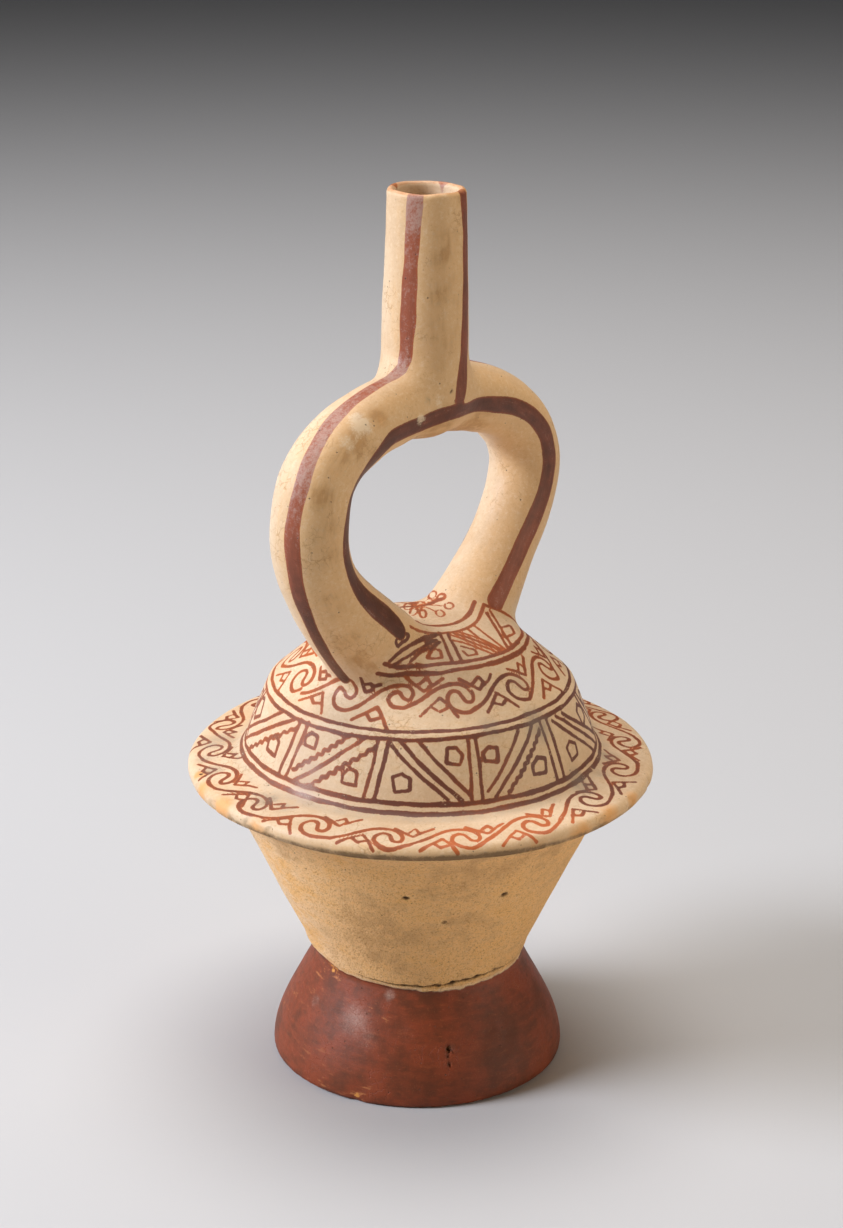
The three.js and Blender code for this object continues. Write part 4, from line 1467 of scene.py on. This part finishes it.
def paint_vessel(skin, form, lines, stripes):
    points = places(skin)
    s = form.s
    exact = Skin(form)
    radius, height = np.hypot(points[:, 0], points[:, 1]), points[:, 2]
    angle = angle_of(points)
    ink, tone, run = lines_at(points, form, lines)
    for low, high, table in BAND_TONES:
        band = (run > low * MM) & (run <= high * MM)
        tone[band] += np.interp(angle[band], *np.array(table, float).T) - 0.5
    stripe, stripe_tone = np.full(len(points), -4 * MM), np.zeros(len(points))
    high = height > form.flange_top + 30 * MM
    stripe[high], stripe_tone[high] = stripes.measure(points[high], near=3)

    # Painted shade: the slip is drawn yellower on the sides that face right and forwards, away from the key
    # lamp
    _, outward = exact.distance(points)
    side_shade = smooth(outward[:, :2] @ np.array([0.0, -1.0]) * 0.75 - outward[:, 0] * 0.35, -0.45, 0.8)
    on_dome = smooth(height, form.flange_under, form.dome_foot)
    on_dome *= 1 - smooth(height, form.dome_top - 6 * MM, form.dome_top + 8 * MM)
    side_shade *= 1 - 0.5 * on_dome
    # Painted shade: a dark band along the lower part of the flange's rim, strongest in front, taken together
    # with the dirt spots
    shade_under_rim = (
        np.exp(-(((height - form.flange_under - 1.5 * MM) / (1.5 * MM)) ** 2))
        * (radius > s.body_radius + 6 * MM)
    )
    front = np.interp(
        angle, (-180, -100, -60, -45, -10, 20, 40, 60, 90, 180),
        (0.5, 0.3, 0.3, 0.7, 1.0, 1.0, 0.75, 0.5, 0.4, 0.5)
    )
    grime_and_shade = np.maximum(
        stain_depth(points, GRIME), shade_under_rim * front * (0.95 + 0.5 * cloud(points, 5 * MM, 11))
    )
    near_waist = (abs(height - s.foot_height) < 9 * MM) & (radius > s.waist_radius - 5 * MM)
    lap = s.foot_height - height
    lap[near_waist] = lap_edge(points[near_waist]) - height[near_waist]
    crack = np.zeros(len(points))
    width = crack_width(points[near_waist])
    crack[near_waist] = np.clip(
        1.6 - abs(height[near_waist] - crack_line(points[near_waist])) / np.maximum(width, 0.01 * MM), 0, 1
    )
    for centre, tall, wide, _ in HOLES:
        off = points - np.array(centre) * MM
        level = np.hypot(off[:, 0], off[:, 1]) / (wide * MM)
        crack = np.maximum(
            crack, np.clip(1.35 - np.sqrt(level**2 + (off[:, 2] / (tall * MM)) ** 2), 0, 0.5) * 2
        )
    # Painted shade in the corner between the flange's top and the dome, all the way round
    corner = (
        np.exp(-(((radius - s.body_radius - 1 * MM) / (3.2 * MM)) ** 2))
        * (abs(height - form.dome_foot - 1 * MM) < 4 * MM)
    )
    ash_and_shade = np.maximum(stain_depth(points, ASH_AND_SHADE), corner * 0.5)
    lip = smooth(height, form.spout_top - 2.6 * MM, form.spout_top - 0.8 * MM)
    foot_side = form.foot_outline()[CONE_STEPS + FOOT_STEPS:CONE_STEPS:-1, ::-1]
    outer_radius = np.interp(height, *foot_side.T)
    inside = smooth(outer_radius - radius, 1.4 * MM, 3.0 * MM) * (height < s.foot_height + 1 * MM)
    core = np.empty(len(points), np.float32)
    skin.data.attributes["inner"].data.foreach_get("value", core)
    for name, values in (
        ("line_depth", ink / MM), ("line_tone", tone),
        ("stripe_depth", stripe / MM), ("stripe_tone", stripe_tone),
        ("foot_depth", lap / MM), ("cone_depth", (form.flange_under + 1 * MM - height) / MM),
        ("soil_and_shade", stain_depth(points, SOIL_AND_SHADE) * (1 + 0.9 * cloud(points, 5 * MM, 12))),
        ("grime_and_shade", grime_and_shade), ("side_shade", side_shade), ("ash_and_shade", ash_and_shade),
        ("stain", stain_depth(points, STAIN)), ("milk", stain_depth(points, MILK)),
        ("crack", crack), ("inner", np.maximum(core, inside)),
        ("chalk", stain_depth(points, CHALK)), ("lip", lip),
    ):
        note(skin, name, values)
    flow = skin.data.attributes.new("flow", "FLOAT_VECTOR", "POINT")
    flow.data.foreach_set("vector", flow_of(points, exact).astype(np.float32).ravel())


class Value:
    """A number, colour or vector on its way through a finish; sums on it add Math nodes."""

    def __init__(self, finish, socket):
        self.finish = finish
        self.socket = socket

    def math(self, operation, *others):
        return self.finish.node("Math", {"operation": operation}, dict(enumerate((self, *others))))

    def __add__(self, other):
        return self.math("ADD", other)

    def __mul__(self, other):
        return self.math("MULTIPLY", other)

    def __sub__(self, other):
        return self.math("SUBTRACT", other)

    def __rsub__(self, other):
        return self.finish.node("Math", {"operation": "SUBTRACT"}, {0: other, 1: self})

    __radd__ = __add__
    __rmul__ = __mul__

    def rise(self, low, high):
        """0 below low, 1 above high, smooth between them."""
        return self.finish.node(
            "MapRange", {"interpolation_type": "SMOOTHSTEP"},
            {"Value": self, "From Min": low, "From Max": high},
        )

    def fall(self, low, high):
        return 1.0 - self.rise(low, high)


class Finish:
    """A material and the nodes that make it."""

    def __init__(self, name):
        self.material = bpy.data.materials.new(name)
        self.material.use_nodes = True
        self.tree = self.material.node_tree
        self.surface = self.tree.nodes["Principled BSDF"]
        self.place = self.node("TexCoord", {}, {}, "Object")
        self.mm = self.node("VectorMath", {"operation": "SCALE"}, {"Vector": self.place, "Scale": 1000.0})

    def node(self, kind, settings, sockets, out=0):
        made = self.tree.nodes.new("ShaderNode" + kind)
        for name, setting in settings.items():
            setattr(made, name, setting)
        for name, value in sockets.items():
            self.set(made.inputs[name], value)
        return Value(self, made.outputs[out])

    def set(self, socket, value):
        if isinstance(value, Value):
            self.tree.links.new(value.socket, socket)
        elif socket.type == "RGBA":
            socket.default_value = (*value[:3], 1.0)
        else:
            socket.default_value = value

    def set_surface(self, name, value):
        self.set(self.surface.inputs[name], value)

    def attribute(self, name):
        return self.node("Attribute", {"attribute_name": name}, {}, "Fac")

    def speckle(self, size, detail=2.0, roughness=0.5, seed=0.0):
        """Cloudy noise, 0 to 1, whose patches are about the given size in millimetres."""
        where = self.mm
        if seed:
            shift = (seed * 17.3, seed * -9.1, seed * 5.7)
            where = self.node("Mapping", {"vector_type": "POINT"}, {"Vector": self.mm, "Location": shift})
        return self.node(
            "TexNoise", {}, {"Vector": where, "Scale": 1.0 / size, "Detail": detail, "Roughness": roughness}
        )

    def blend(self, share, first, second):
        return self.node("Mix", {"data_type": "RGBA"}, {0: share, 6: first, 7: second}, 2)

    def bump(self, height, depth):
        """A bump whose height of 1 stands the given depth in millimetres."""
        return self.node("Bump", {}, {"Height": height, "Distance": depth * MM, "Strength": 1.0})


def clay_finish(look):
    """Painted clay: cream slip over the top parts, a plain buff cone and a red foot."""
    clay = Finish("slip_painted_clay")
    attribute = clay.attribute
    line, stripe = attribute("line_depth"), attribute("stripe_depth")
    foot, cone = attribute("foot_depth"), attribute("cone_depth")
    soil_and_shade, ash_and_shade, stain, milk = (attribute(name) for name in ("soil_and_shade", "ash_and_shade", "stain", "milk"))
    grime_and_shade, side_shade, crack, inner = (attribute(name) for name in ("grime_and_shade", "side_shade", "crack", "inner"))
    flow = clay.node("Attribute", {"attribute_name": "flow"}, {}, "Vector")

    broad = clay.speckle(24, 3, 0.55)
    patchy = clay.speckle(6, 4, 0.62, seed=1.0)
    fine = clay.speckle(1.5, 3, 0.6, seed=2.0)
    grit = clay.speckle(0.5, 2, 0.6, seed=3.0)
    wiped = clay.node("TexNoise", {}, {"Vector": flow, "Scale": 0.55, "Detail": 4.0, "Roughness": 0.65})

    # Cream slip: light where it is thick, yellower where it is thin, wiped along each part
    cream = clay.blend(
        (broad * 0.5 + patchy * 0.3 + wiped * 0.2).rise(0.38, 0.62), look.cream_deep, look.cream
    )
    cream = clay.blend(wiped.rise(0.45, 0.72) * 0.3, cream, look.cream_deep)
    # Painted shade: yellower, darker slip on the sides that face right and forwards, broken up by noise
    mottled_side_shade = (side_shade + (broad - 0.5) * 0.9 + (patchy - 0.5) * 0.7 + (wiped - 0.5) * 0.6).rise(0.15, 1.0)
    cream = clay.blend(mottled_side_shade * 0.75, cream, look.tan)
    cream = clay.blend((fine * 0.6 + grit * 0.4).rise(0.47, 0.72) * 0.45, cream, look.cream_pale)
    cream = clay.blend((fine * 0.5 + grit * 0.5).fall(0.33, 0.45) * 0.34, cream, look.soil_and_shade)
    # Hair cracks in the slip, in patches
    ripple = clay.node("TexNoise", {}, {"Vector": clay.mm, "Scale": 0.6, "Detail": 2.0}, "Color")
    ripple = clay.node("VectorMath", {"operation": "SCALE"}, {"Vector": ripple, "Scale": 2.6})
    bent = clay.node("VectorMath", {"operation": "ADD"}, {0: clay.mm, 1: ripple})
    crazed = clay.node(
        "TexVoronoi", {"feature": "DISTANCE_TO_EDGE"}, {"Vector": bent, "Scale": 0.3}, "Distance"
    )
    hair = crazed.fall(0.0, 0.05) * (broad * 0.6 + patchy * 0.4).rise(0.5, 0.6)
    cream = clay.blend(hair * 0.5, cream, look.soil_and_shade)
    # Buff cone: bare, sandy clay
    buff = clay.blend((broad * 0.4 + patchy * 0.3 + wiped * 0.3).rise(0.38, 0.62), look.buff_deep, look.buff)
    # Painted shade: the cone's sides that face right and forwards are drawn in the deep buff
    buff = clay.blend(mottled_side_shade * 0.8, buff, look.buff_deep)
    buff = clay.blend(grit.rise(0.5, 0.72) * 0.35, buff, look.cream_pale)
    sand = clay.speckle(0.85, 2, 0.7, seed=4.0)
    buff = clay.blend((broad * 0.5 + patchy * 0.35 + wiped * 0.15).rise(0.48, 0.64) * 0.5, buff, look.soil_and_shade)
    buff = clay.blend((grit * 0.4 + sand * 0.6).fall(0.38, 0.5) * 0.6, buff, look.soil_and_shade)
    on_cone = (cone + (fine - 0.5) * 1.2).rise(-0.3, 0.3)
    ground = clay.blend(on_cone, cream, buff)
    ragged = (fine - 0.5) * 0.55 + (grit - 0.5) * 0.35
    # Brown soil, and painted shade under the arch
    brown = (
        soil_and_shade * (patchy * 1.3 + (wiped - 0.5) * 1.6 + (fine - 0.5) * 1.1 + (grit - 0.5) * 0.5)
    ).rise(0.08, 0.62)
    ground = clay.blend(brown * 0.65, ground, look.soil_and_shade)
    orange = (stain * (patchy * 0.9 + grit * 0.6)).rise(0.15, 0.6)
    ground = clay.blend(orange * 0.7, ground, look.stain)

    # Fine lines: a dark core with a thinner, redder edge, broken by small flecks
    line_on = (line + ragged).rise(-0.09, 0.11) * (1.0 - (grit * 0.5 + patchy * 0.5).rise(0.6, 0.7) * 0.7)
    tone = attribute("line_tone") + (patchy - 0.5) * 0.5 - (line + ragged).fall(0.05, 0.4) * 0.28
    ink = clay.blend(tone.rise(0.0, 1.0), look.line_light, look.line_dark)
    painted = clay.blend(line_on * 0.96, ground, ink)

    # Wide stripes, dark brown to red
    stripe_on = (stripe + ragged * 0.7).rise(-0.1, 0.1)
    worn = attribute("stripe_tone") + (patchy - 0.5) * 0.5 + (wiped - 0.5) * 0.5
    band = clay.blend(worn.rise(-0.1, 0.6), look.stripe_deep, look.stripe)
    band = clay.blend((stripe + ragged).fall(0.1, 0.75) * 0.3, band, look.line_light)
    band = clay.blend(
        (worn + (fine - 0.5) * 1.1 + (grit - 0.5) * 0.8).rise(0.45, 1.15) * 0.62, band, look.milk
    )
    band = clay.blend((grit * 0.5 + wiped * 0.5).rise(0.58, 0.72) * 0.4, band, look.milk)
    painted = clay.blend(stripe_on, painted, band)

    # Red foot, with scratches where it is worn
    red = clay.blend((broad * 0.4 + patchy * 0.35 + wiped * 0.25).rise(0.38, 0.6), look.foot_deep, look.foot)
    red = clay.blend((soil_and_shade * (patchy + 0.4)).rise(0.1, 0.8) * 0.7, red, look.foot_deep)
    scratched = wiped.rise(0.56, 0.68) * (0.15 + stain) * (fine * 0.8 + grit * 0.5).rise(0.42, 0.62)
    red = clay.blend(scratched.rise(0.0, 0.7) * 0.7, red, look.foot_pale)
    red = clay.blend(grit.rise(0.56, 0.78) * 0.22, red, look.foot_pale)
    bare = (stain + (fine - 0.5) * 0.5).rise(0.9, 1.0)
    red = clay.blend(bare * 0.85, red, look.stain)
    foot_on = (foot + ragged * 0.8).rise(-0.12, 0.14)
    painted = clay.blend(foot_on, painted, red)

    # Grey dirt, and painted shade in the corner at the dome's foot and at the near leg's foot
    painted = clay.blend((ash_and_shade * (patchy * 0.7 + fine * 0.5)).rise(0.08, 0.62) * 0.6, painted, look.ash_and_shade)
    painted = clay.blend((milk * (patchy * 0.6 + grit * 0.6)).rise(0.12, 0.7) * 0.55, painted, look.milk)
    worn_lip = (attribute("lip") * (patchy * 0.9 + grit * 0.6)).rise(0.45, 0.85)
    painted = clay.blend(worn_lip * 0.6, painted, look.foot_pale)
    lap_edge_band = foot.rise(-1.6, -0.5) * foot.fall(0.0, 0.5) * (patchy * 0.6 + grit * 0.6).rise(0.4, 0.7)
    painted = clay.blend(lap_edge_band * 0.5, painted, look.cream_pale)
    scraped = (attribute("chalk") * (fine * 0.7 + grit * 0.5 + wiped * 0.6)).rise(0.44, 0.78)
    painted = clay.blend(scraped * 0.75, painted, look.cream_pale)
    # Dirt in the pits, and painted shade under the flange's rim
    painted = clay.blend((grime_and_shade * (fine * 0.9 + grit * 0.7)).rise(0.12, 0.7) * 0.9, painted, look.grime_and_shade)
    painted = clay.blend(inner, painted, look.inner)
    pores = clay.node(
        "TexVoronoi", {"feature": "F1"}, {"Vector": clay.mm, "Scale": 0.3, "Randomness": 1.0}, "Distance"
    )
    pore = pores.fall(0.05, 0.11) * fine.rise(0.46, 0.56)
    painted = clay.blend(pore * 0.7 + crack, painted, look.pore)
    clay.set_surface("Base Color", painted)
    rough = (
        0.5 + on_cone * 0.3 + (fine - 0.5) * 0.2 - stripe_on * 0.05 - foot_on * on_cone * 0.27 + soil_and_shade * 0.15
        + crack * 0.3
    )
    clay.set_surface("Roughness", rough)
    clay.set_surface("Specular IOR Level", 0.3)

    sandy = on_cone * (1.0 - foot_on)
    height = (
        sand * sandy * 1.6 + grit * (sandy * 0.9 + 0.12) + fine * (0.3 + sandy * 0.6) + patchy * 0.5
        + wiped * 0.3 - pore * 0.9 - hair * 0.4
    )
    clay.set_surface("Normal", clay.bump(height, 0.2))
    return clay.material


class VESSEL_OT_vessel(bpy.types.Operator):
    """Model the hollow clay vessel, mark its painting on the skin and give it its finish"""

    bl_idname = "vessel.vessel"
    bl_label = "Vessel"

    def execute(self, context):
        form = Form(context.scene.vessel_shape)
        lines, stripes = paint_lines(form), paint_stripes(form, Skin(form))
        skin = model_vessel(context.scene.vessel_shape, lines, stripes)
        pick(skin)
        bpy.ops.object.shade_smooth()
        paint_vessel(skin, form, lines, stripes)
        skin.data.materials.clear()
        skin.data.materials.append(clay_finish(context.scene.vessel_slips))
        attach(skin, "root")
        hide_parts("vessel")
        return {"FINISHED"}


class StageLook(bpy.types.PropertyGroup):
    """The floor, the lights and the camera."""

    floor_colour: colour("Floor", "Colour of the pale floor", (0.53, 0.518, 0.50))
    lens: bpy.props.FloatProperty(
        name="Lens", description="Focal length of the camera in mm", default=LOOK_LENS
    )
    camera_distance: size("Camera distance", "From the vessel's axis to the camera, level", LOOK_AWAY)
    camera_height: size("Camera height", "Height of the camera over the floor", LOOK_HEIGHT)
    camera_azimuth: bpy.props.FloatProperty(
        name="Camera azimuth", description="Direction of view, 0 looks along +Y", default=LOOK_TURN,
        subtype="ANGLE",
    )
    camera_tilt: bpy.props.FloatProperty(
        name="Camera tilt", description="Angle of the view under the level", default=LOOK_TILT,
        subtype="ANGLE",
    )
    camera_roll: bpy.props.FloatProperty(
        name="Camera roll", description="Turn of the camera about its line of sight", default=LOOK_ROLL,
        subtype="ANGLE",
    )


class VESSEL_OT_stage(bpy.types.Operator):
    """Set the pale floor, the soft studio lights and the camera at the photograph's angle"""

    bl_idname = "vessel.stage"
    bl_label = "Stage"

    def execute(self, context):
        look = context.scene.vessel_stage
        begin()
        bpy.ops.mesh.primitive_plane_add(size=8.0, location=(0.0, 0.0, 0.0))
        floor = context.object
        floor.name = "floor"
        paper = bpy.data.materials.new("pale_paper")
        paper.use_nodes = True
        skin = paper.node_tree.nodes["Principled BSDF"]
        skin.inputs["Base Color"].default_value = (*look.floor_colour, 1.0)
        skin.inputs["Roughness"].default_value = 0.9
        floor.data.materials.append(paper)

        turn = look.camera_azimuth
        away = Vector((-math.sin(turn), math.cos(turn), 0.0))
        place = away * -look.camera_distance + Vector((0.0, 0.0, look.camera_height))
        bpy.ops.object.camera_add(location=place)
        camera = context.object
        camera.name = "photo_camera"
        aim = Matrix.Rotation(turn, 3, "Z") @ Matrix.Rotation(math.pi / 2 - look.camera_tilt, 3, "X")
        camera.rotation_euler = (aim @ Matrix.Rotation(look.camera_roll, 3, "Z")).to_euler()
        camera.data.sensor_width = SENSOR
        camera.data.lens = look.lens
        camera.data.clip_start = 0.05
        context.scene.camera = camera

        right = Vector((math.cos(turn), math.sin(turn), 0.0))
        aim_at = Vector((0.0, 0.0, 0.15))
        # Name, place as (right, towards the camera, up) in metres, size, watts, colour
        lamps = (
            ("key_lamp", (-1.75, 0.35, 1.15), 0.9, 51.0, (0.91, 0.97, 1.11)),
            ("fill_lamp", (1.75, 0.65, 0.42), 1.4, 13.0, (1.07, 0.98, 0.82)),
            ("top_lamp", (0.0, -0.3, 2.0), 1.6, 33.0, (1.02, 0.985, 0.98)),
        )
        for name, (side, near, up), width, power, tint in lamps:
            spot = right * side - away * near + Vector((0.0, 0.0, up))
            bpy.ops.object.light_add(type="AREA", location=spot)
            lamp = context.object
            lamp.name = name
            lamp.data.shape = "DISK"
            lamp.data.size = width
            lamp.data.energy = power
            lamp.data.color = tint
            lamp.rotation_euler = (aim_at - spot).to_track_quat("-Z", "Y").to_euler()
        world = bpy.data.worlds.new("studio")
        world.use_nodes = True
        world.node_tree.nodes["Background"].inputs["Color"].default_value = (0.9, 0.92, 0.95, 1.0)
        world.node_tree.nodes["Background"].inputs["Strength"].default_value = 0.02
        context.scene.view_settings.view_transform = "Standard"
        context.scene.world = world
        return {"FINISHED"}


class VESSEL_PT_parts(bpy.types.Panel):
    """The vessel's pieces, in the order they are made"""

    bl_label = "Stirrup spout vessel"
    bl_idname = "VESSEL_PT_parts"
    bl_space_type = "VIEW_3D"
    bl_region_type = "UI"
    bl_category = "Vessel"

    def draw(self, context):
        for operator in OPERATORS:
            self.layout.operator(operator.bl_idname)
        groups = (context.scene.vessel_shape, context.scene.vessel_slips, context.scene.vessel_stage)
        for group in groups:
            column = self.layout.column(align=True)
            for name in group.__annotations__:
                column.prop(group, name)


OPERATORS = (VESSEL_OT_stage, VESSEL_OT_vessel)
CLASSES = (VesselShape, VesselSlips, StageLook, *OPERATORS, VESSEL_PT_parts)


def register():
    for kind in CLASSES:
        bpy.utils.register_class(kind)
    bpy.types.Scene.vessel_shape = bpy.props.PointerProperty(type=VesselShape)
    bpy.types.Scene.vessel_slips = bpy.props.PointerProperty(type=VesselSlips)
    bpy.types.Scene.vessel_stage = bpy.props.PointerProperty(type=StageLook)


def unregister():
    del bpy.types.Scene.vessel_stage
    del bpy.types.Scene.vessel_slips
    del bpy.types.Scene.vessel_shape
    for kind in reversed(CLASSES):
        bpy.utils.unregister_class(kind)


def main():
    register()
    bpy.ops.vessel.stage()
    bpy.ops.vessel.vessel()


if __name__ == "__main__":
    main()
